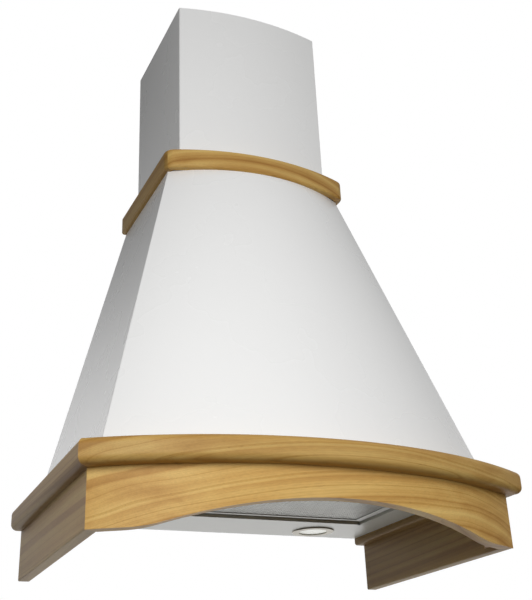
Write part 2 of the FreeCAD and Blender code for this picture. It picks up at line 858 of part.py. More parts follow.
def mesh_sheet(z_low):
    """A sheet of diamond mesh, plain along its edges and round the handle."""
    half, rear, front = filter_extent()
    edge = filter_sheet + seat_gap
    half_x = half - edge
    y_low = front + edge
    y_high = filter_pin_y() - seat_gap
    notch_x = handle_width / 2 + seat_gap
    notch_y = front + filter_sheet + handle_depth + seat_gap
    corners = [(-half_x, y_low), (-notch_x, y_low), (-notch_x, notch_y), (notch_x, notch_y),
               (notch_x, y_low), (half_x, y_low), (half_x, y_high), (-half_x, y_high)]
    outline = [Vector(x, y, z_low) for x, y in corners]
    wires = [Part.makePolygon(outline + outline[:1])]
    window_x = half - filter_lip
    columns = int(window_x / mesh_pitch_x)
    rows = int((y_high - y_low) / (mesh_pitch_y / 2))
    for row in range(rows):
        y = y_low + (row + 1) * mesh_pitch_y / 2
        shift = mesh_pitch_x / 2 if row % 2 else 0
        for column in range(-columns - 1, columns + 1):
            x = column * mesh_pitch_x + shift
            inside = abs(x) + mesh_pitch_x / 2 < window_x
            inside = inside and front + filter_lip + mesh_pitch_y / 2 < y < rear - filter_lip
            beside = abs(x) > notch_x + mesh_pitch_x / 2 or y > notch_y + mesh_pitch_y / 2
            if inside and beside:
                wires.append(diamond(x, y, z_low))
    return Part.Face(wires).extrude(Vector(0, 0, mesh_thickness))


def filter_mesh():
    z_low = z_filter + filter_sheet
    z_high = z_filter + filter_thickness - filter_sheet - mesh_thickness
    return group([mesh_sheet(z_low), mesh_sheet(z_high)])


def filter_handle():
    """The plastic block in the front rail: a finger pocket below and the bolt's channel."""
    front = filter_extent()[2] + filter_sheet
    body = handle_block(0)
    channel = block(-bolt_width / 2 - bolt_clearance, bolt_width / 2 + bolt_clearance,
                    front - overcut, bolt_front() + bolt_length + bolt_travel + spring_room,
                    bolt_z() - bolt_clearance, bolt_z() + bolt_thickness + bolt_clearance)
    pocket_rear = front + (handle_depth + finger_depth) / 2
    pocket = block(-finger_width / 2, finger_width / 2, pocket_rear - finger_depth, pocket_rear,
                   z_filter - overcut, bolt_z() - bolt_clearance / 2)
    return cut_away(body, [channel, pocket])


def latch_bolt():
    front = bolt_front()
    bar = block(-bolt_width / 2, bolt_width / 2, front, front + bolt_length,
                bolt_z(), bolt_z() + bolt_thickness)
    pocket_rear = filter_extent()[2] + filter_sheet + (handle_depth + finger_depth) / 2
    tab_rear = pocket_rear - bolt_travel - bolt_tab_gap
    tab_half = bolt_width / 2 - bolt_tab_gap
    tab = block(-tab_half, tab_half, tab_rear - bolt_tab, tab_rear,
                z_filter + bolt_tab_gap, bolt_z() + bolt_thickness / 2)
    return joined([bar, tab])


def latch_spring():
    """A coil between the bolt's tail and the end of its channel."""
    start_y = bolt_front() + bolt_length
    length = bolt_travel + spring_room
    pitch = (length - 2 * latch_wire_radius) / latch_spring_turns
    coil = Part.makeHelix(pitch, pitch * latch_spring_turns, latch_spring_radius)
    section = Part.Wire([Part.makeCircle(latch_wire_radius, Vector(latch_spring_radius, 0, 0),
                                         Vector(0, 1, 0))])
    wire = Part.Wire(coil.Edges).makePipeShell([section], True, True)
    wire.rotate(Vector(0, 0, 0), Vector(1, 0, 0), -90)
    wire.translate(Vector(0, start_y + latch_wire_radius, bolt_z() + bolt_thickness / 2))
    return wire


# ---------------------------------------------------------------- lamps
def lamp_ring(x):
    centre = (x, -lamp_wall_distance, z_pan - lamp_ring_drop)
    barrel_inner = lamp_barrel_radius - lamp_barrel_wall
    flange = rod(lamp_ring_radius, centre, (0, 0, 1), lamp_ring_drop)
    rim = [e for e in flange.Edges if abs(e.BoundBox.ZMax - centre[2]) < tolerance
           and isinstance(e.Curve, Part.Circle)]
    flange = flange.makeFillet(lamp_ring_edge, rim)
    barrel = rod(lamp_barrel_radius, centre, (0, 0, 1), lamp_ring_drop + lamp_barrel_height)
    ring = joined([flange, barrel])
    window = rod(lamp_window_radius, (x, -lamp_wall_distance, z_pan - overcut), (0, 0, 1),
                 2 * overcut)
    bore = rod(barrel_inner, (x, -lamp_wall_distance, z_pan - lamp_ring_drop / 2), (0, 0, 1),
               overcut * 2)
    return cut_away(ring, [window, bore])


def lamp_lens(x):
    radius = lamp_barrel_radius - lamp_barrel_wall - seat_gap
    return rod(radius, (x, -lamp_wall_distance, z_pan - lamp_ring_drop / 2), (0, 0, 1),
               lens_thickness)


def lamp_cup(x):
    z_low = z_pan + lamp_barrel_height
    cup = rod(lamp_barrel_radius, (x, -lamp_wall_distance, z_low), (0, 0, 1), lamp_cup_height)
    hollow = rod(lamp_barrel_radius - lamp_barrel_wall, (x, -lamp_wall_distance, z_low - overcut),
                 (0, 0, 1), overcut + lamp_cup_height - lamp_barrel_wall)
    return cut_away(cup, [hollow])


def lamp_bulbs():
    bulbs = []
    z_high = z_pan + lamp_barrel_height + lamp_cup_height - lamp_barrel_wall
    for x in lamp_places().values():
        stem = rod(bulb_radius, (x, -lamp_wall_distance, z_high), (0, 0, -1),
                   bulb_length - bulb_radius)
        tip = Part.makeSphere(bulb_radius, Vector(x, -lamp_wall_distance,
                                                  z_high - bulb_length + bulb_radius))
        bulbs.append(joined([stem, tip]))
    return group(bulbs)


def lamp_clips():
    clips = []
    z_low = z_pan + sheet
    for x in lamp_places().values():
        for side in (-1, 1):
            near = x + side * (lamp_barrel_radius + seat_gap)
            far = near + side * clip_foot
            wall = near + side * sheet
            y_low = -lamp_wall_distance - clip_width / 2
            foot = block(min(near, far), max(near, far), y_low, y_low + clip_width,
                         z_low, z_low + sheet)
            leaf = block(min(near, wall), max(near, wall), y_low, y_low + clip_width,
                         z_low, z_low + clip_height)
            clips.append(joined([foot, leaf]))
    return group(clips)


# ---------------------------------------------------------------- controls
def button_places():
    first = -(button_count - 1) * button_pitch / 2
    return [first + index * button_pitch for index in range(button_count)]


def button_windows(z_low, z_high):
    half_x = button_width / 2 + button_clearance
    half_y = button_depth / 2 + button_clearance
    return [block(x - half_x, x + half_x, control_y() - half_y, control_y() + half_y,
                  z_low, z_high) for x in button_places()]


def control_bezel():
    half_x = control_half_x() + bezel_margin
    half_y = control_half_y() + bezel_margin
    plate = block(-half_x, half_x, control_y() - half_y, control_y() + half_y,
                  z_pan - bezel_thickness, z_pan)
    rim = [e for e in plate.Edges if e.BoundBox.ZMax < z_pan - bezel_thickness + tolerance]
    plate = plate.makeFillet(bezel_edge_round, rim)
    return cut_away(plate, button_windows(z_pan - overcut, z_pan + overcut))


def control_case():
    half_x = control_half_x()
    half_y = control_half_y()
    y = control_y()
    case = block(-half_x, half_x, y - half_y, y + half_y, z_pan, z_pan + control_height)
    hollow = block(-half_x + control_wall, half_x - control_wall,
                   y - half_y + control_wall, y + half_y - control_wall,
                   z_pan + control_wall, z_pan + control_height - control_wall)
    stops = []
    z_stop = z_pan - button_proud + button_height + button_travel + seat_gap
    for x in button_places():
        stops.append(block(x - button_width / 4, x + button_width / 4, y - button_depth / 4,
                           y + button_depth / 4, z_stop, z_pan + control_height))
    case = cut_away(case, [hollow] + button_windows(z_pan - overcut, z_pan + shallow_cut))
    return joined([case] + stops)


def push_button(x):
    half_x = button_width / 2
    half_y = button_depth / 2
    z_low = z_pan - button_proud
    cap = block(x - half_x, x + half_x, control_y() - half_y, control_y() + half_y,
                z_low, z_low + button_height)
    rim = [e for e in cap.Edges if e.BoundBox.ZMax < z_low + tolerance]
    return cap.makeFillet(button_edge_round, rim)


# ---------------------------------------------------------------- blower
def scroll_solid(inset, half_width):
    """The scroll's outline, wound from three quarter circles, as a solid block."""
    step = scroll_step
    radii = [scroll_start_radius - inset + step * turn for turn in range(3)]
    centres = [(-step / 2, -step / 2), (step / 2, -step / 2), (step / 2, step / 2)]
    tongue = (outlet_inner_offset + inset, centres[0][1] + radii[0])
    top = scroll_top_rise + (overcut if inset else 0)
    rear = centres[2][0] + radii[2]

    def at(y, z):
        return Vector(-half_width, y_fan + y, z_fan + z)

    def quarter(turn, start_degrees):
        y, z = centres[turn]
        points = []
        for degrees in (start_degrees, start_degrees + 45, start_degrees + 90):
            angle = math.radians(degrees)
            points.append(at(y + radii[turn] * math.cos(angle), z + radii[turn] * math.sin(angle)))
        return Part.Arc(*points).toShape()

    edges = [
        quarter(0, 90), quarter(1, 180), quarter(2, 270),
        Part.LineSegment(at(rear, centres[2][1]), at(rear, top)).toShape(),
        Part.LineSegment(at(rear, top), at(tongue[0], top)).toShape(),
        Part.LineSegment(at(tongue[0], top), at(*tongue)).toShape(),
        Part.LineSegment(at(*tongue), at(centres[0][0], tongue[1])).toShape(),
    ]
    return Part.Face(Part.Wire(edges)).extrude(Vector(2 * half_width, 0, 0))


def blower_cases():
    half = scroll_width / 2
    outer = scroll_solid(0, half)
    hollow = scroll_solid(scroll_wall, half - scroll_wall)
    inlet = rod(inlet_radius, (-half - overcut, y_fan, z_fan), (1, 0, 0), 2 * (half + overcut))
    scroll = outer.cut([hollow, inlet])
    reach = scroll_start_radius + scroll_top_rise + 3 * scroll_step
    left_half = block(-half - overcut, 0, y_fan - reach, y_fan + reach,
                      z_fan - reach, z_fan + reach)
    holes = [screw_hole(seat, axis, sheet_screw_length)
             for seat, axis in case_screw_seats() + bracket_screw_seats()]
    return {
        "blower_case_left": cut_away(scroll.common(left_half), holes),
        "blower_case_right": cut_away(scroll.cut(left_half), holes),
    }


def mount_z():
    return z_fan - mount_height / 2


def mount_screw_seats():
    """Screws that hold the two blower brackets to the back plate."""
    x = scroll_width / 2 + mount_screw_offset
    y = y_panel - mount_sheet
    return [((side * x, y, mount_z() + share * mount_height), (0, 1, 0))
            for side in (-1, 1) for share in mount_screw_shares]


def mount_front_y():
    """The blower brackets end just behind the rim of the motor's spider."""
    return y_fan + inlet_radius + 2 * bracket_ring + mount_rim_gap


def case_screw_seats():
    """Screws through the blower brackets into the scroll's side walls."""
    x = scroll_width / 2 + mount_sheet
    y = mount_front_y() + 2 * screw_head_radius
    return [((side * x, y, mount_z() + share * mount_height), (-side, 0, 0))
            for side in (-1, 1) for share in mount_screw_shares]


def blower_brackets():
    half = scroll_width / 2
    wall_leg = block(half, half + mount_flange, y_panel - mount_sheet, y_panel,
                     mount_z(), mount_z() + mount_height)
    case_leg = block(half, half + mount_sheet, mount_front_y(), y_panel, mount_z(),
                     mount_z() + mount_height)
    right = joined([wall_leg, case_leg])
    holes = [screw_hole(seat, axis, sheet_screw_length)
             for seat, axis in mount_screw_seats() + case_screw_seats()]
    return group([right.cut(holes), mirrored(right).cut(holes)])


def blower_screws():
    backed = back_plate_thickness + mount_sheet
    screws = [screw(seat, axis, backed) for seat, axis in mount_screw_seats()]
    screws += [screw(seat, axis, mount_sheet + scroll_wall) for seat, axis in case_screw_seats()]
    screws += [screw(seat, axis, bracket_sheet + scroll_wall)
               for seat, axis in bracket_screw_seats()]
    return group(screws)


def bracket_screw_seats():
    x = -scroll_width / 2 - bracket_sheet
    radius = inlet_radius + bracket_ring
    seats = []
    for arm in range(bracket_arms):
        angle = math.radians(90 + 360 / bracket_arms * arm)
        seats.append(((x, y_fan + radius * math.cos(angle), z_fan + radius * math.sin(angle)),
                      (1, 0, 0)))
    return seats


def motor_bracket():
    """A three-armed spider across the left inlet, with a collar round the motor."""
    x = -scroll_width / 2 - bracket_sheet
    centre = (x, y_fan, z_fan)
    rim_outer = inlet_radius + 2 * bracket_ring
    rim = tube(rim_outer, inlet_radius - bracket_lip, centre, (1, 0, 0), bracket_sheet)
    sleeve_outer = motor_radius + seat_gap + bracket_sheet
    sleeve = tube(sleeve_outer, motor_radius + seat_gap, centre, (1, 0, 0), bracket_sleeve)
    arms = []
    for arm in range(bracket_arms):
        bar = block(x, x + bracket_sheet, y_fan - bracket_arm_width / 2,
                    y_fan + bracket_arm_width / 2, z_fan + motor_radius + bracket_sheet / 2,
                    z_fan + inlet_radius + bracket_ring / 2)
        bar.rotate(Vector(*centre), Vector(1, 0, 0), 360 / bracket_arms * arm)
        arms.append(bar)
    holes = [screw_hole(seat, axis, sheet_screw_length) for seat, axis in bracket_screw_seats()]
    return cut_away(joined([rim, sleeve] + arms), holes)


def motor():
    x = -scroll_width / 2 - bracket_sheet
    can = rod(motor_radius, (x, y_fan, z_fan), (1, 0, 0), motor_length)
    ends = [e for e in can.Edges if isinstance(e.Curve, Part.Circle)]
    can = can.makeFillet(motor_edge_round, ends)
    boss = rod(motor_boss_radius, (x, y_fan, z_fan), (1, 0, 0), motor_length + motor_boss_length)
    bore = rod(shaft_radius + shaft_clearance, (x + motor_length / 2, y_fan, z_fan), (1, 0, 0),
               motor_length)
    return cut_away(joined([can, boss]), [bore])


def shaft_span():
    start = -scroll_width / 2 - bracket_sheet + motor_length / 2 + seat_gap
    end = hub_start() + hub_width + shaft_end
    return start, end


def hub_start():
    return -scroll_width / 2 - bracket_sheet + motor_length + motor_boss_length + hub_gap


def motor_shaft():
    start, end = shaft_span()
    return rod(shaft_radius, (start, y_fan, z_fan), (1, 0, 0), end - start)


def impeller_rings():
    rings = [tube(impeller_radius, impeller_radius - impeller_ring, (x, y_fan, z_fan),
                  (1, 0, 0), impeller_sheet)
             for x in (-impeller_width / 2, impeller_width / 2 - impeller_sheet)]
    return group(rings)


def blades():
    """The impeller's leaning blades, each clinched between the two rings."""
    reach = impeller_width / 2 - impeller_sheet
    strips = []
    for index in range(blade_count):
        strip = block(-reach, reach, y_fan - blade_thickness / 2, y_fan + blade_thickness / 2,
                      z_fan + impeller_radius - impeller_ring - blade_reach,
                      z_fan + impeller_radius - blade_tip_gap)
        foot = Vector(0, y_fan, z_fan + impeller_radius)
        strip.rotate(foot, Vector(1, 0, 0), blade_angle)
        strip.rotate(Vector(0, y_fan, z_fan), Vector(1, 0, 0), 360 / blade_count * index)
        strips.append(strip)
    return strips


def impeller():
    """The hub and the disc that carries the blades in notches in its edge."""
    hub = rod(hub_radius, (hub_start(), y_fan, z_fan), (1, 0, 0), hub_width)
    disc = rod(disc_radius, (hub_start() + hub_width / 2, y_fan, z_fan), (1, 0, 0),
               impeller_sheet)
    bore = rod(shaft_radius + shaft_clearance / 2, (-impeller_width / 2, y_fan, z_fan),
               (1, 0, 0), impeller_width)
    return cut_away(joined([hub, disc]), blades() + [bore])


# ---------------------------------------------------------------- outlet and flaps
def outlet_frame():
    """Outer front and rear of the scroll's outlet, and the height of its rim."""
    rear = y_fan + scroll_step / 2 + scroll_start_radius + 2 * scroll_step
    front = y_fan + outlet_inner_offset
    return front, rear, z_fan + scroll_top_rise


def spigot_centre_y():
    front, rear, _ = outlet_frame()
    return (front + rear) / 2


def square_wire(half_x, y_low, y_high, z):
    corners = [Vector(half_x, y_high, z), Vector(-half_x, y_high, z),
               Vector(-half_x, y_low, z), Vector(half_x, y_low, z)]
    return Part.makePolygon(corners + corners[:1])


def round_wire(radius, centre_y, z):
    """A circle in four arcs that start at the corners of the square below it."""
    edges = []
    for quarter in range(4):
        points = []
        for degrees in (45 + 90 * quarter, 90 + 90 * quarter, 135 + 90 * quarter):
            angle = math.radians(degrees)
            points.append(Vector(radius * math.cos(angle),
                                 centre_y + radius * math.sin(angle), z))
        edges.append(Part.Arc(*points).toShape())
    return Part.Wire(edges)


def z_flaps():
    return outlet_frame()[2] + spigot_base + spigot_taper + flap_ledge_thickness


def outlet_spigot():
    front, rear, z_rim = outlet_frame()
    centre_y = spigot_centre_y()
    half_x = scroll_width / 2
    z_taper = z_rim + spigot_base
    z_round = z_taper + spigot_taper
    inner_radius = spigot_radius - spigot_wall
    base = block(-half_x, half_x, front, rear, z_rim, z_taper)
    wide_x = half_x - scroll_wall
    outer_taper = Part.makeLoft([
        square_wire(wide_x, front + scroll_wall, rear - scroll_wall, z_taper),
        round_wire(spigot_radius, centre_y, z_round)], True, True)
    pipe = rod(spigot_radius, (0, centre_y, z_round), (0, 0, 1), spigot_length)
    body = joined([base, outer_taper, pipe])

    thin = 2 * scroll_wall
    inner_base = block(-half_x + thin, half_x - thin, front + thin, rear - thin,
                       z_rim - overcut, z_taper)
    inner_taper = Part.makeLoft([
        square_wire(half_x - thin, front + thin, rear - thin, z_taper),
        round_wire(inner_radius - flap_ledge, centre_y, z_round)], True, True)
    ledge_bore = rod(inner_radius - flap_ledge, (0, centre_y, z_round), (0, 0, 1),
                     spigot_length)
    bore = rod(inner_radius, (0, centre_y, z_flaps()), (0, 0, 1), 2 * spigot_length)
    reach = flap_pin_reach()
    pin_hole = rod(flap_pin_radius, (-reach, centre_y, flap_pin_z()), (1, 0, 0), 2 * reach)
    return cut_away(body, [inner_base, inner_taper, ledge_bore, bore, pin_hole])


def flap_pin_z():
    return z_flaps() + flap_knuckle_radius


def flap_pin_reach():
    return spigot_radius - spigot_wall + flap_pin_seat


def flap_pin():
    reach = flap_pin_reach()
    return rod(flap_pin_radius, (-reach, spigot_centre_y(), flap_pin_z()), (1, 0, 0), 2 * reach)


def flap(side, knuckle_centres, other_centres):
    """A half disc with knuckles on the pin; side is -1 for the front flap, 1 for the rear."""
    centre_y = spigot_centre_y()
    radius = spigot_radius - spigot_wall - flap_gap
    z_low = z_flaps()
    disc = rod(radius, (0, centre_y, z_low), (0, 0, 1), flap_thickness)
    edge = centre_y + side * flap_gap
    near, far = sorted((edge, centre_y + side * 2 * radius))
    half_disc = disc.common(block(-2 * radius, 2 * radius, near, far, z_low,
                                  z_low + flap_thickness))
    rib_y = centre_y + side * radius / 2
    rib = block(-radius / 2, radius / 2, rib_y - flap_stiffener / 2, rib_y + flap_stiffener / 2,
                z_low, z_low + flap_thickness + flap_stiffener_height)
    reliefs = [rod(flap_knuckle_radius + flap_gap,
                   (x - flap_knuckle_length / 2 - flap_gap, centre_y, flap_pin_z()), (1, 0, 0),
                   flap_knuckle_length + 2 * flap_gap) for x in other_centres]
    knuckles = [rod(flap_knuckle_radius, (x - flap_knuckle_length / 2, centre_y, flap_pin_z()),
                    (1, 0, 0), flap_knuckle_length) for x in knuckle_centres]
    bore = rod(flap_pin_radius + shaft_clearance, (-2 * radius, centre_y, flap_pin_z()),
               (1, 0, 0), 4 * radius)
    leaf = joined([half_disc, rib]).cut(reliefs)
    return cut_away(joined([leaf] + knuckles), [bore])


def flaps():
    rear_centres = [-flap_stagger, flap_stagger]
    front_centres = [-flap_stagger - flap_pitch, flap_stagger + flap_pitch]
    return {
        "flap_front": flap(-1, front_centres, rear_centres),
        "flap_rear": flap(1, rear_centres, front_centres),
    }


# ---------------------------------------------------------------- electrics
def terminal_extent():
    x_low = terminal_offset
    z_low = z_dome + terminal_rise
    return x_low, x_low + terminal_width, z_low, z_low + terminal_height


def terminal_box():
    x_low, x_high, z_low, z_high = terminal_extent()
    y_low = y_panel - terminal_depth
    box = block(x_low, x_high, y_low, y_panel, z_low, z_high)
    hollow = block(x_low + terminal_wall, x_high - terminal_wall, y_low - overcut,
                   y_panel - terminal_wall, z_low + terminal_wall, z_high - terminal_wall)
    gland_x, gland_y = gland_axis()
    hole = rod(gland_stem_radius + seat_gap, (gland_x, gland_y, z_high - overcut / 2),
               (0, 0, 1), overcut)
    return cut_away(box, [hollow, hole])


def terminal_lid():
    x_low, x_high, z_low, z_high = terminal_extent()
    y_low = y_panel - terminal_depth
    lid = block(x_low, x_high, y_low - terminal_wall, y_low, z_low, z_high)
    rim = [e for e in lid.Edges if e.BoundBox.YMax < y_low - terminal_wall + tolerance]
    return lid.makeFillet(terminal_edge_round, rim)


def gland_axis():
    x_low, x_high, _, _ = terminal_extent()
    return (x_low + x_high) / 2, y_panel - terminal_depth / 2


def cable_gland():
    x, y = gland_axis()
    z_high = terminal_extent()[3]
    stem_length = gland_length - gland_nut_length
    stem = rod(gland_stem_radius, (x, y, z_high - terminal_wall), (0, 0, 1),
               terminal_wall + stem_length)
    collar = rod(gland_radius, (x, y, z_high), (0, 0, 1), stem_length / 2)
    sides = 6
    corners = []
    for index in range(sides):
        angle = 2 * math.pi * index / sides
        corners.append(Vector(x + gland_radius * math.cos(angle),
                              y + gland_radius * math.sin(angle), z_high + stem_length))
    nut = Part.Face(Part.makePolygon(corners + corners[:1])).extrude(
        Vector(0, 0, gland_nut_length))
    bore = rod(gland_bore, (x, y, z_high - overcut), (0, 0, 1), 2 * overcut + gland_length)
    return cut_away(joined([stem, collar, nut]), [bore])


def capacitor_axis():
    x = -capacitor_offset - capacitor_radius
    return x, y_panel - capacitor_radius - sheet


def capacitor():
    x, y = capacitor_axis()
    can = rod(capacitor_radius, (x, y, z_dome + terminal_rise), (0, 0, 1), capacitor_length)
    ends = [e for e in can.Edges if isinstance(e.Curve, Part.Circle)]
    return can.makeFillet(capacitor_edge_round, ends)


def capacitor_clip():
    """A strap round the capacitor with two ears on the back plate."""
    x, y = capacitor_axis()
    z = z_dome + terminal_rise + (capacitor_length - capacitor_strap) / 2
    inner = capacitor_radius + seat_gap
    outer = inner + sheet
    hoop = tube(outer, inner, (x, y, z), (0, 0, 1), capacitor_strap)
    front = block(x - outer, x + outer, y - outer, y, z, z + capacitor_strap)
    hoop = hoop.common(front)
    cheeks = [block(low, low + sheet, y, y_panel, z, z + capacitor_strap)
              for low in (x - outer, x + inner)]
    ears = [block(low, low + sheet + capacitor_ear, y_panel - sheet, y_panel, z, z + capacitor_strap)
            for low in (x - outer - capacitor_ear, x + inner)]
    return joined([hoop] + cheeks + ears)


# ---------------------------------------------------------------- all pieces
def all_pieces():
    pieces = {}
    pieces.update(cap_pieces())
    pieces.update(apron_pieces())
    pieces["board_dowels"] = dowels()
    pieces["corner_blocks"] = corner_blocks()
    pieces["trim_screws"] = group([screw(seat, (0, 0, -1), wood_screw_length)
                                   for seat in trim_screw_seats()])
    pieces.update(collar_pieces())
    pieces["collar_cleats"] = collar_cleats()
    pieces["collar_screws"] = collar_screws()
    pieces["neck_plate"] = neck_plate()
    pieces["dome_shell"] = dome_shell()
    pieces["back_plate"] = back_plate()
    pieces["chimney_cover"] = chimney_cover()
    pieces["chimney_bracket"] = chimney_bracket()
    pieces["filter_pan"] = filter_pan()
    pieces["filter_frame"] = filter_frame()
    pieces["filter_mesh"] = filter_mesh()
    pieces["filter_handle"] = filter_handle()
    pieces["latch_bolt"] = latch_bolt()
    pieces["latch_spring"] = latch_spring()
    for side, x in lamp_places().items():
        pieces["lamp_ring_" + side] = lamp_ring(x)
        pieces["lamp_lens_" + side] = lamp_lens(x)
        pieces["lamp_cup_" + side] = lamp_cup(x)
    pieces["lamp_bulbs"] = lamp_bulbs()
    pieces["lamp_clips"] = lamp_clips()
    pieces["control_bezel"] = control_bezel()
    pieces["control_case"] = control_case()
    for index, x in enumerate(button_places()):
        pieces["push_button_%d" % (index + 1)] = push_button(x)
    pieces.update(blower_cases())
    pieces["blower_brackets"] = blower_brackets()
    pieces["blower_screws"] = blower_screws()
    pieces["motor"] = motor()
    pieces["motor_bracket"] = motor_bracket()
    pieces["motor_shaft"] = motor_shaft()
    pieces["impeller"] = impeller()
    pieces["impeller_rings"] = impeller_rings()
    pieces["impeller_blades"] = group(blades())
    pieces["outlet_spigot"] = outlet_spigot()
    pieces["flap_pin"] = flap_pin()
    pieces.update(flaps())
    pieces["terminal_box"] = terminal_box()
    pieces["terminal_lid"] = terminal_lid()
    pieces["cable_gland"] = cable_gland()
    pieces["capacitor"] = capacitor()
    pieces["capacitor_clip"] = capacitor_clip()
    return pieces


os.makedirs("parts", exist_ok=True)
for name, shape in all_pieces().items():
    shape.exportStep("parts/" + name + ".step")
    print(name, len(shape.Solids), round(shape.Volume, 1), shape.isValid())
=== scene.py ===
import json
import math

import bmesh
import bpy
from bpy.props import FloatProperty, FloatVectorProperty, IntProperty, PointerProperty
from mathutils import Matrix, Vector

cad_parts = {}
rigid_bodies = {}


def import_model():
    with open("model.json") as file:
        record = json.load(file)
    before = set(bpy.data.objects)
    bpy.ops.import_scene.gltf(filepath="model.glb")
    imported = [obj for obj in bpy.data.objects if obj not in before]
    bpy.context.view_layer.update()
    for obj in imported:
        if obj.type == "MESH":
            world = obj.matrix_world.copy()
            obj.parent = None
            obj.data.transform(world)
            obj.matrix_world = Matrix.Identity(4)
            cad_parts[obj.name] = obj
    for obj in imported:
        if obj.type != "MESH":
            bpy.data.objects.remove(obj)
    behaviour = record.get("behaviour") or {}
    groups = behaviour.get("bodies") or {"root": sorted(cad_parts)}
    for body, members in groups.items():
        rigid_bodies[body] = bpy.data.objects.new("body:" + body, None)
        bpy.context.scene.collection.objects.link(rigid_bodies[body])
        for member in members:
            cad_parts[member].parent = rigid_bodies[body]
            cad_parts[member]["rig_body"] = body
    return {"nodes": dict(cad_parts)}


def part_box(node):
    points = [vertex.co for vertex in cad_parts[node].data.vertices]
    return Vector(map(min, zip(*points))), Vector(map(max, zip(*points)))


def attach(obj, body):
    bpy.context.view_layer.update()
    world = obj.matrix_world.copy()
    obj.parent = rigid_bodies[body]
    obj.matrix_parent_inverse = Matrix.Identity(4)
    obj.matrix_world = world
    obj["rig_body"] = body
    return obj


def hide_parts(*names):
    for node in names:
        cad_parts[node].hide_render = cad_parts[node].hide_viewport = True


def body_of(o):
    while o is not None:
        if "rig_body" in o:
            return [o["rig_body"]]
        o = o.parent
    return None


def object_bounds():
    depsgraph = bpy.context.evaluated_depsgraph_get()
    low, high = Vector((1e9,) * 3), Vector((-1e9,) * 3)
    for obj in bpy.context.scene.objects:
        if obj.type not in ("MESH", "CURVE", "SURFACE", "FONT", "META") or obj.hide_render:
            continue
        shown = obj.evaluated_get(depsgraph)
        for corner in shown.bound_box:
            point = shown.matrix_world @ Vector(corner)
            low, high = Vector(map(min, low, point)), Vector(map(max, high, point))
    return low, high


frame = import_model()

bl_info = {
    "name": "Oak-trimmed range hood",
    "version": (1, 0, 0),
    "blender": (4, 5, 0),
    "location": "View3D > Sidebar > Hood",
    "description": "Finishes and fine pieces for a white range hood with oak mouldings",
    "category": "Object",
}

CAD_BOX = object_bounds()
FIBRE_STRETCH = 12.0        # every pattern in the wood is this much longer along the grain
SCREW_HEAD_WIDTH = 0.0072
FLOOR_RADIUS = 1.6
# Each light's side in metres, its azimuth left of the front and elevation in degrees, and its
# distance from the hood's middle in metres.
LIGHTS = {"key": (0.7, 32, -3, 1.4), "fill": (1.0, -14, -8, 1.6)}


# ---------------------------------------------------------------- colours and node trees
def linear(colour):
    """An sRGB hex colour as linear red, green, blue and alpha."""
    values = [int(colour[place:place + 2], 16) / 255 for place in (1, 3, 5)]
    return [value / 12.92 if value <= 0.04045 else ((value + 0.055) / 1.055) ** 2.4
            for value in values] + [1.0]


def grey(value):
    """A linear grey, for the heights and masks that patterns are made of."""
    return value, value, value, 1.0


def shade(colour, factor):
    """A colour made lighter or darker by a factor."""
    return *(min(1.0, value * factor) for value in colour[:3]), 1.0


def add(tree, kind, settings=None, links=None):
    """Adds a node, sets its attributes, inputs and ramp stops, and links its inputs."""
    node = tree.nodes.new("ShaderNode" + kind)
    for key, value in (settings or {}).items():
        if key == "stops":
            elements = node.color_ramp.elements
            elements[0].position, elements[0].color = value[0]
            elements[1].position, elements[1].color = value[-1]
            for position, colour in value[1:-1]:
                elements.new(position).color = colour
        elif isinstance(key, str) and hasattr(node, key):
            setattr(node, key, value)
        else:
            node.inputs[key].default_value = value
    for key, source in (links or {}).items():
        tree.links.new(source, node.inputs[key])
    return node


def new_material(name):
    """An empty material, its node tree and the piece's own coordinates in metres."""
    material = bpy.data.materials.new(name)
    material.use_nodes = True
    tree = material.node_tree
    tree.nodes.clear()
    return material, tree, add(tree, "TexCoord").outputs["Object"]


def finish(tree, settings, links=None):
    """The surface shader with its constants and the patterns that drive it."""
    shader = add(tree, "BsdfPrincipled", settings, links)
    add(tree, "OutputMaterial", None, {"Surface": shader.outputs[0]})
    return shader


def two_tone(tree, colour, dark, light, pattern, start=0.3, stop=0.7):
    """A darker and a lighter shade of a colour, mixed by a pattern."""
    return add(tree, "ValToRGB", {"stops": [(start, shade(colour, dark)),
                                            (stop, shade(colour, light))]},
               {"Fac": pattern}).outputs[0]


def noise(tree, size_mm, detail, place, **settings):
    """A noise with features of this size."""
    return add(tree, "TexNoise", {"Scale": per_metre(size_mm), "Detail": detail, **settings},
               {"Vector": place})


def bumped(tree, strength, distance, height):
    """The normal of a surface whose pattern stands this far out of it, in metres."""
    return add(tree, "Bump", {"Strength": strength, "Distance": distance},
               {"Height": height}).outputs[0]


def per_metre(size_mm):
    """The scale at which a noise or cell pattern has features of this size."""
    return 1000.0 / size_mm


def band_scale(spacing_mm):
    """The Wave Texture's scale for saw-tooth bands at this spacing."""
    return 2 * math.pi / 20 * per_metre(spacing_mm)


# ---------------------------------------------------------------- sizes and colours to set
def colour_property(name, description, default):
    return FloatVectorProperty(name=name, description=description, subtype="COLOR", size=4,
                               min=0.0, max=1.0, default=linear(default))


def length_property(name, description, default_mm):
    return FloatProperty(name=name, description=description, default=default_mm * 0.001,
                         min=0.0, unit="LENGTH", subtype="DISTANCE")


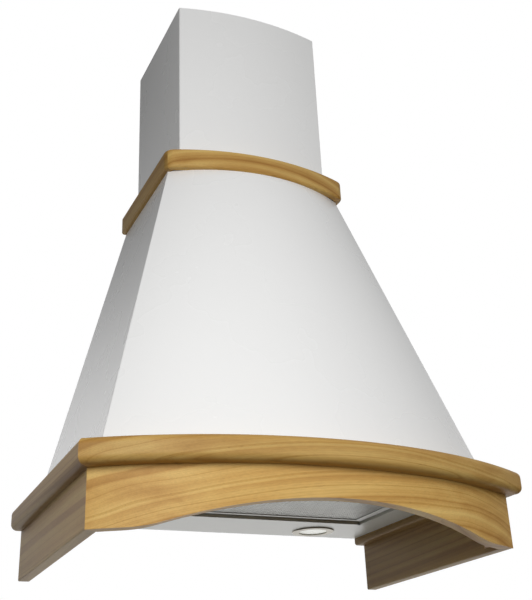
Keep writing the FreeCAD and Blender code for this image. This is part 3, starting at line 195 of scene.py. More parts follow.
class HoodColours(bpy.types.PropertyGroup):
    """Colours of the hood's woods, paints, metals and plastics."""
    oak_light: colour_property("Oak, light", "Late wood between the pores", "#DFBB6F")
    oak_middle: colour_property("Oak, middle", "Most of the wood", "#CFA45A")
    oak_dark: colour_property("Oak, dark", "Streaks of darker heartwood", "#B5853F")
    oak_pore: colour_property("Oak, pores", "Open pores of the early wood", "#7E5A2E")
    beech: colour_property("Beech", "Dowels and corner blocks", "#D9B48A")
    white: colour_property("White paint", "Dome and chimney", "#F2F2F1")
    pale: colour_property("Pale paint", "Underside panel", "#E2E2D8")
    steel: colour_property("Steel", "Zinc-coated sheet and screws", "#B9BBBD")
    aluminium: colour_property("Aluminium", "Grease filter and motor", "#C6C6C2")
    nickel: colour_property("Nickel", "Lamp rings", "#B4AFA3")
    glass: colour_property("Frosted glass", "Lamp lenses", "#F1F1E2")
    plastic: colour_property("Black plastic", "Blower, buttons and electrics", "#26272A")
    grey_plastic: colour_property("Grey plastic", "Bezel and handle", "#8F8E88")


class HoodSizes(bpy.types.PropertyGroup):
    """Sizes of the fine detail that Blender adds."""
    ring_spacing: FloatProperty(name="Ring spacing", description="Growth rings of the oak, in mm",
                                default=3.6, min=1.0, max=20.0)
    diamond_width: length_property("Diamond width", "Long way of the filter's expanded mesh",
                                   11.0)
    diamond_height: length_property("Diamond height", "Short way of the filter's mesh", 5.5)
    strand: length_property("Strand", "Width of the mesh's strands", 1.3)
    strand_thickness: length_property("Strand thickness", "Sheet the mesh is made of", 0.6)
    pleat: length_property("Pleat", "Pitch of the crimped foil inside the filter", 6.0)
    button_dish: length_property("Button dish", "Depth of a button's finger dish", 0.7)
    thread_pitch: length_property("Thread pitch", "Pitch of the screws' thread", 1.0)
    motor_slots: IntProperty(name="Motor slots", description="Vents round each motor end",
                             default=12, min=3, max=24)


class HoodStudio(bpy.types.PropertyGroup):
    """Camera, floor and lights."""
    lens: FloatProperty(name="Focal length", description="Camera lens, on a 36 mm sensor",
                        default=60.007, min=10.0, max=300.0, unit="CAMERA")
    yaw: FloatProperty(name="Yaw", description="Camera turned to its right",
                       default=math.radians(24.854), subtype="ANGLE", unit="ROTATION")
    pitch: FloatProperty(name="Pitch", description="Camera tilted up",
                         default=math.radians(26.133), subtype="ANGLE", unit="ROTATION")
    roll: FloatProperty(name="Roll", description="Camera turned about its own axis",
                        default=math.radians(-2.524), subtype="ANGLE", unit="ROTATION")
    place: FloatVectorProperty(name="Place", description="Where the camera stands",
                               subtype="TRANSLATION", unit="LENGTH", size=3,
                               default=(-0.558411, -1.455009, -0.509783))
    rise: FloatProperty(name="Vertical shift", description="Lens shift of the camera",
                        default=-0.0667)
    floor_drop: length_property("Floor drop", "Floor below the wall screws' centre", 2400.0)
    key: FloatProperty(name="Key light", description="Soft light low at the front left",
                       default=11.0, min=0.0, unit="POWER")
    fill: FloatProperty(name="Fill light", description="Soft light beside the camera",
                        default=5.5, min=0.0, unit="POWER")
    surround: FloatProperty(name="Surround", description="Brightness of the room in front",
                            default=0.5, min=0.0)
    wall: FloatProperty(name="Wall", description="Brightness of the wall behind",
                        default=1.35, min=0.0)


# ---------------------------------------------------------------- pieces
def dress(material, *nodes):
    """Gives CAD nodes their material."""
    for node in nodes:
        for slot in frame["nodes"][node].material_slots:
            slot.material = material


def piece(name, bm, material, node, stands_for=True):
    """Makes a bmesh a piece on the node's body, and hides the node that it stands for."""
    mesh = bpy.data.meshes.new(name)
    bm.to_mesh(mesh)
    bm.free()
    mesh.materials.append(material)
    mesh.shade_smooth()
    mesh.set_sharp_from_angle(angle=math.radians(32))
    made = bpy.data.objects.new(name, mesh)
    bpy.context.scene.collection.objects.link(made)
    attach(made, body_of(frame["nodes"][node])[0])
    if stands_for:
        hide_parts(node)
    return made


def everything(bm):
    return bm.verts[:] + bm.edges[:] + bm.faces[:]


def outward(bm):
    """Merges doubles and turns every face outwards."""
    bmesh.ops.remove_doubles(bm, verts=bm.verts[:], dist=1e-6)
    bmesh.ops.recalc_face_normals(bm, faces=bm.faces[:])


def spun(bm, profile, steps):
    """Spins (radius, height) points round Z and returns the new vertices' start."""
    start = len(bm.verts)
    points = [bm.verts.new((radius, 0.0, height)) for radius, height in profile]
    edges = [bm.edges.new(pair) for pair in zip(points, points[1:])]
    bmesh.ops.spin(bm, geom=points + edges, cent=(0, 0, 0), axis=(0, 0, 1),
                   angle=2 * math.pi, steps=steps, use_merge=True, use_duplicate=False)
    bm.verts.ensure_lookup_table()
    return start


def islands(node):
    """Each separate solid of a CAD node as the list of its vertices' places."""
    bm = bmesh.new()
    bm.from_mesh(frame["nodes"][node].data)
    bmesh.ops.remove_doubles(bm, verts=bm.verts[:], dist=1e-6)
    left = set(bm.verts)
    found = []
    while left:
        edge, island = [left.pop()], []
        while edge:
            vert = edge.pop()
            island.append(vert.co.copy())
            near = {link.other_vert(vert) for link in vert.link_edges} & left
            left -= near
            edge += near
        found.append(island)
    bm.free()
    return found


def along(direction):
    """A turn that brings Z to a direction."""
    return Vector(direction).to_track_quat("Z", "Y").to_matrix().to_4x4()


# ---------------------------------------------------------------- materials
def oak(name, context, tone, pith, lean):
    """Plain-sawn oak, planed and sanded, under a clear satin lacquer: straw to honey brown,
    with growth rings of uneven width, short open pores along the grain and a soft sheen.
    The pith is the middle of the growth rings and the lean turns the grain's X."""
    colours, sizes = context.scene.hood_colours, context.scene.hood_sizes
    material, tree, place = new_material(name)
    board = add(tree, "Mapping", {"vector_type": "TEXTURE", "Location": pith, "Rotation": lean,
                                  "Scale": (FIBRE_STRETCH, 1.0, 1.0)}, {"Vector": place})
    board = board.outputs[0]
    # The log wandered by a centimetre or so over its length.
    wander = noise(tree, 95, 2.0, board)
    bent = add(tree, "VectorMath", {"operation": "MULTIPLY_ADD", 1: (0.0, 0.03, 0.03)},
               {0: wander.outputs["Color"], 2: board})
    section = add(tree, "VectorMath", {"operation": "MULTIPLY", 1: (0.0, 1.0, 1.0)},
                  {0: bent.outputs[0]})
    radius = add(tree, "VectorMath", {"operation": "LENGTH"}, {0: section.outputs[0]})
    # Wide and narrow years, then the single rings within them.
    years = add(tree, "TexNoise", {"noise_dimensions": "1D",
                                   "Scale": per_metre(3.2 * sizes.ring_spacing),
                                   "Detail": 1.5, "Roughness": 0.5},
                {"W": radius.outputs["Value"]})
    rings = add(tree, "TexNoise", {"noise_dimensions": "1D", "Scale": per_metre(sizes.ring_spacing),
                                   "Detail": 2.0, "Roughness": 0.6},
                {"W": radius.outputs["Value"]})
    # Broad streaks about 30 mm wide, where the wood took the light or the lacquer unevenly.
    streaks = noise(tree, 30, 4.0, board, Roughness=0.55, Distortion=0.3)
    blend = add(tree, "Mix", {0: 0.5}, {2: streaks.outputs["Fac"], 3: years.outputs["Fac"]})
    # The tone darkens all of the board's colours together. It is painted shade on the side pieces,
    # and partly painted shade on the cap and collar fronts.
    body = add(tree, "ValToRGB", {"stops": [
        (0.32, shade(colours.oak_dark, tone)), (0.5, shade(colours.oak_middle, tone)),
        (0.66, shade(colours.oak_light, tone))]}, {"Fac": blend.outputs[0]})
    # Early wood is porous and a little darker.
    early = add(tree, "ValToRGB", {"stops": [(0.5, grey(0.0)), (0.72, grey(1.0))]},
                {"Fac": rings.outputs["Fac"]})
    ringed = add(tree, "Mix", {"data_type": "RGBA", "blend_type": "MULTIPLY",
                               7: (0.82, 0.74, 0.6, 1.0)},
                 {0: early.outputs[0], 6: body.outputs[0]})
    # Fibres about 1 mm across, drawn coarser than the wood's own so that they show.
    fibres = noise(tree, 1.2, 3.0, board, Roughness=0.6)
    fibre_tone = add(tree, "ValToRGB", {"stops": [
        (0.3, grey(0.91)), (0.7, grey(1.05))]}, {"Fac": fibres.outputs["Fac"]})
    grained = add(tree, "Mix", {"data_type": "RGBA", "blend_type": "MULTIPLY", 0: 1.0},
                  {6: ringed.outputs[2], 7: fibre_tone.outputs[0]})
    # Pores: real ones are 0.3 mm wide and 5 to 10 mm long, drawn 0.7 mm wide to show.
    pores = noise(tree, 1.6, 2.0, board, Roughness=0.7)
    pore_mask = add(tree, "ValToRGB", {"stops": [(0.6, grey(0.0)), (0.7, grey(1.0))]},
                    {"Fac": pores.outputs["Fac"]})
    pore_depth = add(tree, "Math", {"operation": "MULTIPLY"},
                     {0: pore_mask.outputs[0], 1: early.outputs[0]})
    pore_share = add(tree, "Math", {"operation": "MULTIPLY", 1: 0.4},
                     {0: pore_depth.outputs[0]})
    coloured = add(tree, "Mix", {"data_type": "RGBA", 7: shade(colours.oak_pore, tone)},
                   {0: pore_share.outputs[0], 6: grained.outputs[2]})
    height = add(tree, "Math", {"operation": "MULTIPLY_ADD", 1: -1.0},
                 {0: pore_depth.outputs[0], 2: fibres.outputs["Fac"]})
    bump = bumped(tree, 0.12, 0.0003, height.outputs[0])
    finish(tree, {"Roughness": 0.58, "IOR": 1.45, "Specular IOR Level": 0.3, "Coat Weight": 0.1,
                  "Coat Roughness": 0.36, "Coat IOR": 1.45},
           {"Base Color": coloured.outputs[2], "Normal": bump})
    return material


def beech(context):
    """Bare steamed beech: pinkish tan with short dark flecks, dead matt."""
    colours = context.scene.hood_colours
    material, tree, place = new_material("Steamed beech, bare")
    upright = add(tree, "Mapping", {"vector_type": "TEXTURE", "Scale": (1.0, 1.0, 8.0)},
                  {"Vector": place}).outputs[0]
    grain = noise(tree, 3.0, 3.0, upright)
    flecks = add(tree, "TexVoronoi", {"Scale": per_metre(1.6)}, {"Vector": upright})
    body = two_tone(tree, colours.beech, 0.8, 1.0, grain.outputs["Fac"], 0.3, 0.65)
    fleck_mask = add(tree, "ValToRGB", {"stops": [(0.05, grey(0.45)), (0.2, grey(0.0))]},
                     {"Fac": flecks.outputs["Distance"]})
    coloured = add(tree, "Mix", {"data_type": "RGBA", 7: shade(colours.beech, 0.45)},
                   {0: fleck_mask.outputs[0], 6: body})
    bump = bumped(tree, 0.15, 0.0003, grain.outputs["Fac"])
    finish(tree, {"Roughness": 0.72, "IOR": 1.5},
           {"Base Color": coloured.outputs[2], "Normal": bump})
    return material


def baked_paint(name, colour, roughness, peel_strength, sheen=0.5):
    """Powder coat baked on sheet steel: even colour, a faint orange peel in its gloss and
    a slightly thinner, greyer film in patches."""
    material, tree, place = new_material(name)
    # Orange peel has waves 2 to 4 mm long.
    peel = noise(tree, 3.0, 2.0, place, Roughness=0.45)
    # The sheet itself waves a little over a hand's width.
    film = noise(tree, 140, 3.0, place)
    tone = two_tone(tree, colour, 0.985, 1.0, film.outputs["Fac"], 0.1, 0.9)
    gloss = add(tree, "MapRange", {"To Min": roughness - 0.01, "To Max": roughness + 0.02},
                {"Value": film.outputs["Fac"]})
    bump = bumped(tree, peel_strength, 0.0003, peel.outputs["Fac"])
    finish(tree, {"IOR": 1.5, "Specular IOR Level": sheen},
           {"Base Color": tone, "Roughness": gloss.outputs[0], "Normal": bump})
    return material


def galvanised_sheet(context):
    """Hot-dip galvanised sheet steel: dull blue-grey zinc with a spangle of crystals about
    9 mm across, each a little lighter or darker."""
    steel = context.scene.hood_colours.steel
    material, tree, place = new_material("Galvanised sheet steel, spangled")
    crystals = add(tree, "TexVoronoi", {"Scale": per_metre(9.0)}, {"Vector": place})
    frost = noise(tree, 1.2, 3.0, place)
    value = add(tree, "SeparateColor", None, {0: crystals.outputs["Color"]})
    mixed = add(tree, "Math", {"operation": "MULTIPLY_ADD", 1: 0.3},
                {0: frost.outputs["Fac"], 2: value.outputs[0]})
    tone = two_tone(tree, steel, 0.66, 1.0, mixed.outputs[0], 0.1, 1.1)
    gloss = add(tree, "MapRange", {"To Min": 0.38, "To Max": 0.58}, {"Value": value.outputs[1]})
    bump = bumped(tree, 0.06, 0.0003, frost.outputs["Fac"])
    finish(tree, {"Metallic": 1.0},
           {"Base Color": tone, "Roughness": gloss.outputs[0], "Normal": bump})
    return material


def zinc_plated(context):
    """Bright zinc-plated steel, rolled or turned: clean silver with fine tool marks and a
    few duller patches of passivation. It is made once and shared."""
    name = "Zinc-plated steel, bright"
    if name in bpy.data.materials:
        return bpy.data.materials[name]
    steel = context.scene.hood_colours.steel
    material, tree, place = new_material(name)
    marks = noise(tree, 0.8, 3.0, place)
    patches = noise(tree, 12, 2.0, place)
    tone = two_tone(tree, steel, 0.82, 1.08, patches.outputs["Fac"])
    gloss = add(tree, "MapRange", {"To Min": 0.2, "To Max": 0.36},
                {"Value": patches.outputs["Fac"]})
    bump = bumped(tree, 0.08, 0.0001, marks.outputs["Fac"])
    finish(tree, {"Metallic": 1.0},
           {"Base Color": tone, "Roughness": gloss.outputs[0], "Normal": bump})
    return material


def rolled_aluminium(name, context, darkness, roughness):
    """Mill-finish aluminium sheet: soft silver with faint rolling lines along it and a haze
    of oxide."""
    aluminium = shade(context.scene.hood_colours.aluminium, darkness)
    material, tree, place = new_material(name)
    # Rolling lines 0.6 mm apart and many centimetres long.
    rolled = add(tree, "Mapping", {"vector_type": "TEXTURE", "Scale": (30.0, 1.0, 1.0)},
                 {"Vector": place}).outputs[0]
    lines = noise(tree, 0.6, 2.0, rolled)
    haze = noise(tree, 30, 3.0, place)
    tone = two_tone(tree, aluminium, 0.86, 1.0, haze.outputs["Fac"], 0.3, 0.72)
    gloss = add(tree, "MapRange", {"To Min": roughness - 0.06, "To Max": roughness + 0.08},
                {"Value": lines.outputs["Fac"]})
    bump = bumped(tree, 0.05, 0.0002, lines.outputs["Fac"])
    finish(tree, {"Metallic": 1.0},
           {"Base Color": tone, "Roughness": gloss.outputs[0], "Normal": bump})
    return material


def crimped_foil(context):
    """Knitted and crimped aluminium foil inside the filter: dull grey, pitted with shadow
    between its strands."""
    aluminium = context.scene.hood_colours.aluminium
    material, tree, place = new_material("Crimped aluminium foil")
    # Openings about 2 mm across between the strands.
    cells = add(tree, "TexVoronoi", {"Scale": per_metre(2.2)}, {"Vector": place})
    tone = two_tone(tree, aluminium, 0.3, 0.72, cells.outputs["Distance"], 0.1, 0.55)
    bump = bumped(tree, 0.7, 0.0008, cells.outputs["Distance"])
    finish(tree, {"Metallic": 0.8, "Roughness": 0.5},
           {"Base Color": tone, "Normal": bump})
    return material


def cast_aluminium(context):
    """Die-cast aluminium: light grey skin with a fine grain, duller in its hollows."""
    aluminium = context.scene.hood_colours.aluminium
    material, tree, place = new_material("Die-cast aluminium")
    grain = noise(tree, 1.0, 4.0, place, Roughness=0.7)
    flow = noise(tree, 22, 3.0, place, Distortion=1.0)
    tone = two_tone(tree, aluminium, 0.68, 0.9, flow.outputs["Fac"])
    bump = bumped(tree, 0.22, 0.0003, grain.outputs["Fac"])
    finish(tree, {"Metallic": 0.9, "Roughness": 0.48},
           {"Base Color": tone, "Normal": bump})
    return material


def motor_steel(context):
    """Electrical steel laminations, stacked and varnished: dark, with bright edges."""
    steel = context.scene.hood_colours.steel
    material, tree, place = new_material("Varnished electrical steel")
    # Plates 0.5 mm thick, drawn 1.2 mm so that the stack shows.
    plates = add(tree, "TexWave", {"wave_type": "BANDS", "bands_direction": "X",
                                   "Scale": band_scale(1.2)}, {"Vector": place})
    drips = noise(tree, 14, 3.0, place)
    tone = two_tone(tree, steel, 0.16, 0.4, drips.outputs["Fac"], 0.3, 0.75)
    bump = bumped(tree, 0.5, 0.0003, plates.outputs["Fac"])
    finish(tree, {"Metallic": 0.85, "Roughness": 0.42, "Coat Weight": 0.4,
                  "Coat Roughness": 0.2}, {"Base Color": tone,
                                           "Normal": bump})
    return material


def satin_nickel(context):
    """Die-cast ring with a satin nickel plate: warm grey, brushed fine and even."""
    nickel = context.scene.hood_colours.nickel
    material, tree, place = new_material("Satin nickel plate")
    brush = noise(tree, 0.5, 2.0, place)
    cloud = noise(tree, 18, 2.0, place)
    tone = two_tone(tree, nickel, 0.9, 1.05, cloud.outputs["Fac"])
    bump = bumped(tree, 0.1, 0.0001, brush.outputs["Fac"])
    finish(tree, {"Metallic": 0.85, "Roughness": 0.44},
           {"Base Color": tone, "Normal": bump})
    return material


def frosted_glass(context):
    """Pressed lamp glass, hammered inside and frosted: milky, with lighter dimple middles painted
    as glints, and a faint painted glow.
    """
    glass = context.scene.hood_colours.glass
    material, tree, place = new_material("Pressed frosted glass")
    # Hammered dimples about 5 mm across.
    dimples = add(tree, "TexVoronoi", {"Scale": per_metre(5.0), "feature": "SMOOTH_F1",
                                       "Smoothness": 0.6}, {"Vector": place})
    frost = noise(tree, 0.7, 2.0, place)
    # The dimples' middles are painted lighter than their rims: painted glints.
    tone = add(tree, "ValToRGB", {"stops": [(0.1, glass), (0.75, shade(glass, 0.8))]},
               {"Fac": dimples.outputs["Distance"]})
    height = add(tree, "Math", {"operation": "MULTIPLY_ADD", 1: 0.06},
                 {0: frost.outputs["Fac"], 2: dimples.outputs["Distance"]})
    bump = bumped(tree, 0.6, 0.0012, height.outputs[0])
    # The faint emission is a painted glow that stands for light thrown back by the reflector behind
    # the glass; the bulbs themselves are not lit.
    finish(tree, {"Roughness": 0.24, "IOR": 1.5, "Transmission Weight": 0.3,
                  "Coat Weight": 0.6, "Coat Roughness": 0.08,
                  "Emission Color": glass, "Emission Strength": 0.12},
           {"Base Color": tone.outputs[0], "Normal": bump})
    return material


def lamp_glass(context):
    """Clear quartz envelope of a halogen capsule, faintly smoky near its pinch."""
    glass = context.scene.hood_colours.glass
    material, tree, place = new_material("Clear quartz glass")
    smoke = noise(tree, 6, 2.0, place)
    tone = two_tone(tree, glass, 0.85, 1.0, smoke.outputs["Fac"])
    finish(tree, {"Roughness": 0.06, "IOR": 1.46, "Transmission Weight": 0.9},
           {"Base Color": tone})
    return material


def bright_reflector(context):
    """Anodised bright-rolled aluminium of a lamp's reflector, with faint spinning rings."""
    aluminium = context.scene.hood_colours.aluminium
    material, tree, place = new_material("Bright anodised reflector")
    rings = add(tree, "TexNoise", {"Scale": per_metre(1.0), "Detail": 1.0},
                {"Vector": add(tree, "Mapping", {"vector_type": "TEXTURE",
                                                 "Scale": (20.0, 20.0, 1.0)},
                               {"Vector": place}).outputs[0]})
    tone = two_tone(tree, aluminium, 1.0, 1.2, rings.outputs["Fac"])
    bump = bumped(tree, 0.12, 0.0002, rings.outputs["Fac"])
    finish(tree, {"Metallic": 1.0, "Roughness": 0.16},
           {"Base Color": tone, "Normal": bump})
    return material


def moulded_plastic(name, colour, roughness, grain_mm, grain_strength):
    """Injection-moulded ABS or polypropylene: even colour, a fine spark-eroded grain and
    slightly glossier patches where the melt met the mould first."""
    material, tree, place = new_material(name)
    grain = noise(tree, grain_mm, 3.0, place, Roughness=0.6)
    flow = noise(tree, 35, 2.0, place, Distortion=0.8)
    tone = two_tone(tree, colour, 0.88, 1.1, flow.outputs["Fac"])
    gloss = add(tree, "MapRange", {"To Min": roughness - 0.05, "To Max": roughness + 0.06},
                {"Value": flow.outputs["Fac"]})
    bump = bumped(tree, grain_strength, 0.0002, grain.outputs["Fac"])
    finish(tree, {"IOR": 1.53}, {"Base Color": tone, "Roughness": gloss.outputs[0],
                                 "Normal": bump})
    return material


# ---------------------------------------------------------------- operators
class HOOD_OT_oak(bpy.types.Operator):
    """Dress the cap moulding, the apron boards and the neck collar in oak"""
    bl_idname = "hood.oak"
    bl_label = "Oak mouldings"

    def execute(self, context):
        ring_radius = 0.30
        lean_back = 0.255       # the ring planes of the front boards tip back with depth
        slope = 0.075           # and rise to the right
        across = math.radians(90)
        # The first number of each board is its tone, which darkens the board's whole colour. On the
        # side boards and on the side pieces of the cap and the collar it is painted shade for faces
        # turned away from the key light. On the cap front and the collar front it is partly painted
        # shade for faces that tilt away from the light, and partly a darker wood.
        boards = {
            "frieze_front": (1.0, 0.0, slope, False), "cap_front": (0.8, 0.31, 0.03, False),
            "collar_front": (0.86, 0.55, -0.02, False),
            "side_board_left": (0.7, 0.2, 0.02, True),
            "side_board_right": (0.66, 0.47, -0.03, True),
            "cap_left": (0.62, 0.63, 0.02, True), "cap_right": (0.62, 0.12, -0.02, True),
            "collar_left": (0.6, 0.71, 0.02, True), "collar_right": (0.6, 0.39, -0.01, True),
        }
        for node, (tone, offset, rise, sideways) in boards.items():
            low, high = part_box(node)
            middle = (low + high) / 2
            pith = (middle.x + 2.0 * offset, low.y - ring_radius * lean_back,
                    middle.z - ring_radius)
            if sideways:
                pith = (middle.x - ring_radius * lean_back, middle.y + 2.0 * offset,
                        middle.z - ring_radius * (1 + offset))
            lean = (0.0, -math.atan(rise), across if sideways else 0.0)
            label = "Lacquered oak, " + node.replace("_", " ")
            dress(oak(label, context, tone, pith, lean), node)
        return {"FINISHED"}


class HOOD_OT_beech(bpy.types.Operator):
    """Dress the dowels and the glued corner blocks in beech"""
    bl_idname = "hood.beech"
    bl_label = "Beech joinery"

    def execute(self, context):
        dress(beech(context), "board_dowels", "corner_blocks")
        return {"FINISHED"}


class HOOD_OT_paint(bpy.types.Operator):
    """Paint the dome, the chimney and the underside panel"""
    bl_idname = "hood.paint"
    bl_label = "Painted steel"

    def execute(self, context):
        colours = context.scene.hood_colours
        white = baked_paint("White powder coat, semi-gloss", colours.white, 0.27, 0.003)
        pale = baked_paint("Pale powder coat, semi-gloss", colours.pale, 0.34, 0.006, 0.8)
        dress(white, "dome_shell", "chimney_cover", "neck_plate")
        dress(pale, "filter_pan")
        return {"FINISHED"}


class HOOD_OT_brackets(bpy.types.Operator):
    """Dress the back plate, the brackets and the cleats in galvanised sheet"""
    bl_idname = "hood.brackets"
    bl_label = "Galvanised sheet"

    def execute(self, context):
        dress(galvanised_sheet(context), "back_plate", "chimney_bracket", "collar_cleats",
              "blower_brackets", "motor_bracket", "capacitor_clip", "impeller",
              "impeller_rings", "impeller_blades")
        return {"FINISHED"}


def keep_inside(bm, low, high):
    """Cuts a flat sheet to a rectangle."""
    for axis in (0, 1):
        for limit, side in ((low[axis], -1), (high[axis], 1)):
            normal = Vector((0, 0, 0))
            normal[axis] = side
            bmesh.ops.bisect_plane(bm, geom=everything(bm), plane_co=normal * limit * side,
                                   plane_no=normal, clear_outer=True)


def cut_notch(bm, half_width, rear):
    """Takes the handle's place out of a flat sheet."""
    for place, normal in (((-half_width, 0, 0), (1, 0, 0)), ((half_width, 0, 0), (1, 0, 0)),
                          ((0, rear, 0), (0, 1, 0))):
        bmesh.ops.bisect_plane(bm, geom=everything(bm), plane_co=place, plane_no=normal)
    inside = [face for face in bm.faces
              if abs(face.calc_center_median().x) < half_width
              and face.calc_center_median().y < rear]
    bmesh.ops.delete(bm, geom=inside, context="FACES")


def expanded_sheet(sizes, low, high, notch_half, notch_rear, z):
    """A sheet of expanded metal: diamonds slit and stretched from one piece."""
    bm = bmesh.new()
    width, height = high[0] - low[0], high[1] - low[1]
    count = int(width / sizes.diamond_width + height / sizes.diamond_height) + 3
    bmesh.ops.create_grid(bm, x_segments=count, y_segments=count, size=count / 2)
    bmesh.ops.rotate(bm, verts=bm.verts[:], cent=(0, 0, 0),
                     matrix=Matrix.Rotation(math.radians(45), 3, "Z"))
    bmesh.ops.scale(bm, verts=bm.verts[:], vec=(sizes.diamond_width / math.sqrt(2),
                                                sizes.diamond_height / math.sqrt(2), 1))
    middle = Vector(((low[0] + high[0]) / 2, (low[1] + high[1]) / 2, 0))
    bmesh.ops.translate(bm, verts=bm.verts[:], vec=middle)
    outside = [face for face in bm.faces
               if abs(face.calc_center_median().x - middle.x) > width / 2 + sizes.diamond_width
               or abs(face.calc_center_median().y - middle.y) > height / 2 + sizes.diamond_height]
    bmesh.ops.delete(bm, geom=outside, context="FACES")
    holes = bm.faces[:]
    bmesh.ops.inset_individual(bm, faces=holes, thickness=sizes.strand / 2,
                               use_even_offset=True)
    bmesh.ops.delete(bm, geom=holes, context="FACES")
    keep_inside(bm, low, high)
    cut_notch(bm, notch_half, notch_rear)
    bmesh.ops.solidify(bm, geom=bm.faces[:], thickness=sizes.strand_thickness)
    lowest = min(vert.co.z for vert in bm.verts)
    bmesh.ops.translate(bm, verts=bm.verts[:], vec=(0, 0, z - lowest))
    return bm


def crimped_layer(sizes, low, high, notch_half, notch_rear, z, wave):
    """A layer of foil crimped into a zigzag."""
    bm = bmesh.new()
    width, height = high[0] - low[0], high[1] - low[1]
    folds = 2 * int(width / sizes.pleat)
    bmesh.ops.create_grid(bm, x_segments=folds, y_segments=1, size=0.5)
    bm.verts.ensure_lookup_table()
    for vert in bm.verts:
        column = round((vert.co.x + 0.5) * folds)
        vert.co.z = wave if column % 2 else -wave
    bmesh.ops.scale(bm, verts=bm.verts[:], vec=(width, height, 1))
    bmesh.ops.translate(bm, verts=bm.verts[:], vec=((low[0] + high[0]) / 2,
                                                    (low[1] + high[1]) / 2, z))
    cut_notch(bm, notch_half, notch_rear)
    return bm


class HOOD_OT_filter(bpy.types.Operator):
    """Build the grease filter's expanded mesh and its crimped foil, and dress its frame"""
    bl_idname = "hood.filter"
    bl_label = "Grease filter"

    def execute(self, context):
        sizes, colours = context.scene.hood_sizes, context.scene.hood_colours
        low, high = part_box("filter_mesh")
        handle_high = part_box("filter_handle")[1]
        overlap, lip, handle_gap = 0.0045, 0.0108, 0.0002
        inner_low = (low.x + lip - overlap, low.y + lip - overlap)
        inner_high = (high.x - lip + overlap, high.y - lip + overlap)
        notch = (handle_high.x + handle_gap, handle_high.y + handle_gap)
        mesh = rolled_aluminium("Expanded aluminium mesh", context, 1.12, 0.4)
        for name, z, stands_for in (("filter_mesh_face", low.z, True),
                                    ("filter_mesh_back", high.z - sizes.strand_thickness, False)):
            bm = expanded_sheet(sizes, inner_low, inner_high, *notch, z)
            bmesh.ops.recalc_face_normals(bm, faces=bm.faces[:])
            piece(name, bm, mesh, "filter_mesh", stands_for)
        foil = crimped_foil(context)
        middle = (low.z + high.z) / 2
        room = (high.z - low.z) / 2 - sizes.strand_thickness
        for index, share in enumerate((-0.5, 0.5)):
            bm = crimped_layer(sizes, inner_low, inner_high, *notch, middle + share * room,
                               room * 0.42)
            piece(f"filter_foil_{index + 1}", bm, foil, "filter_mesh", False)
        dress(rolled_aluminium("Rolled aluminium frame", context, 1.1, 0.5), "filter_frame")
        dress(moulded_plastic("Grey ABS, filter handle", colours.grey_plastic, 0.45, 0.5, 0.12),
              "filter_handle")
        dress(zinc_plated(context), "latch_bolt", "latch_spring")
        return {"FINISHED"}


class HOOD_OT_lamps(bpy.types.Operator):
    """Build the two lamp lenses and dress their rings, cups, capsules and clips"""
    bl_idname = "hood.lamps"
    bl_label = "Lamps"

    def execute(self, context):
        glass = frosted_glass(context)
        for side in ("left", "right"):
            low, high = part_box("lamp_lens_" + side)
            middle = (low + high) / 2
            radius, thick = (high.x - low.x) / 2, high.z - low.z
            edge = thick * 0.2
            profile = [(0.0, 0.12 * thick), (radius * 0.45, 0.05 * thick),
                       (radius * 0.8, 0.0), (radius - edge, 0.0), (radius, edge),
                       (radius, thick - edge), (radius - edge, thick), (radius * 0.86, thick),
                       (radius * 0.8, thick * 0.8), (radius * 0.4, thick * 0.66),
                       (0.0, thick * 0.62)]
            bm = bmesh.new()
            spun(bm, profile, 64)
            bmesh.ops.translate(bm, verts=bm.verts[:], vec=(middle.x, middle.y, low.z))
            outward(bm)
            piece("lamp_glass_" + side, bm, glass, "lamp_lens_" + side)
        dress(satin_nickel(context), "lamp_ring_left", "lamp_ring_right")
        dress(bright_reflector(context), "lamp_cup_left", "lamp_cup_right")
        dress(lamp_glass(context), "lamp_bulbs")
        dress(zinc_plated(context), "lamp_clips")
        return {"FINISHED"}


class HOOD_OT_controls(bpy.types.Operator):
    """Build the five dished push buttons and dress the bezel and the switch case"""
    bl_idname = "hood.controls"
    bl_label = "Controls"

    def execute(self, context):
        sizes, colours = context.scene.hood_sizes, context.scene.hood_colours
        gloss = moulded_plastic("Black ABS, glossy buttons", colours.plastic, 0.22, 0.8, 0.03)
        rim_round, dish_step = 0.0009, 0.0013
        for number in range(1, 6):
            node = f"push_button_{number}"
            low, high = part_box(node)
            bm = bmesh.new()
            bmesh.ops.create_cube(bm, size=1.0)
            bmesh.ops.scale(bm, verts=bm.verts[:], vec=high - low)
            bmesh.ops.translate(bm, verts=bm.verts[:], vec=(low + high) / 2)
            rim = [edge for edge in bm.edges
                   if min(vert.co.z for vert in edge.verts) < low.z + 1e-5]
            bmesh.ops.bevel(bm, geom=rim, offset=rim_round, offset_type="OFFSET", segments=3,
                            profile=0.5, affect="EDGES", material=-1, clamp_overlap=True)
            for share in (0.25, 0.45, 0.3):
                face = max((f for f in bm.faces if f.normal.z < -0.9),
                           key=lambda f: f.calc_area())
                bmesh.ops.inset_region(bm, faces=[face], thickness=dish_step,
                                       use_even_offset=True)
                bmesh.ops.translate(bm, verts=face.verts[:],
                                    vec=(0, 0, sizes.button_dish * share))
            outward(bm)
            piece(f"button_cap_{number}", bm, gloss, node)
        dress(moulded_plastic("Grey ABS, control bezel", colours.grey_plastic, 0.42, 0.5, 0.12),
              "control_bezel")
        dress(moulded_plastic("Black nylon, switch case", colours.plastic, 0.5, 0.7, 0.18),
              "control_case")
        return {"FINISHED"}


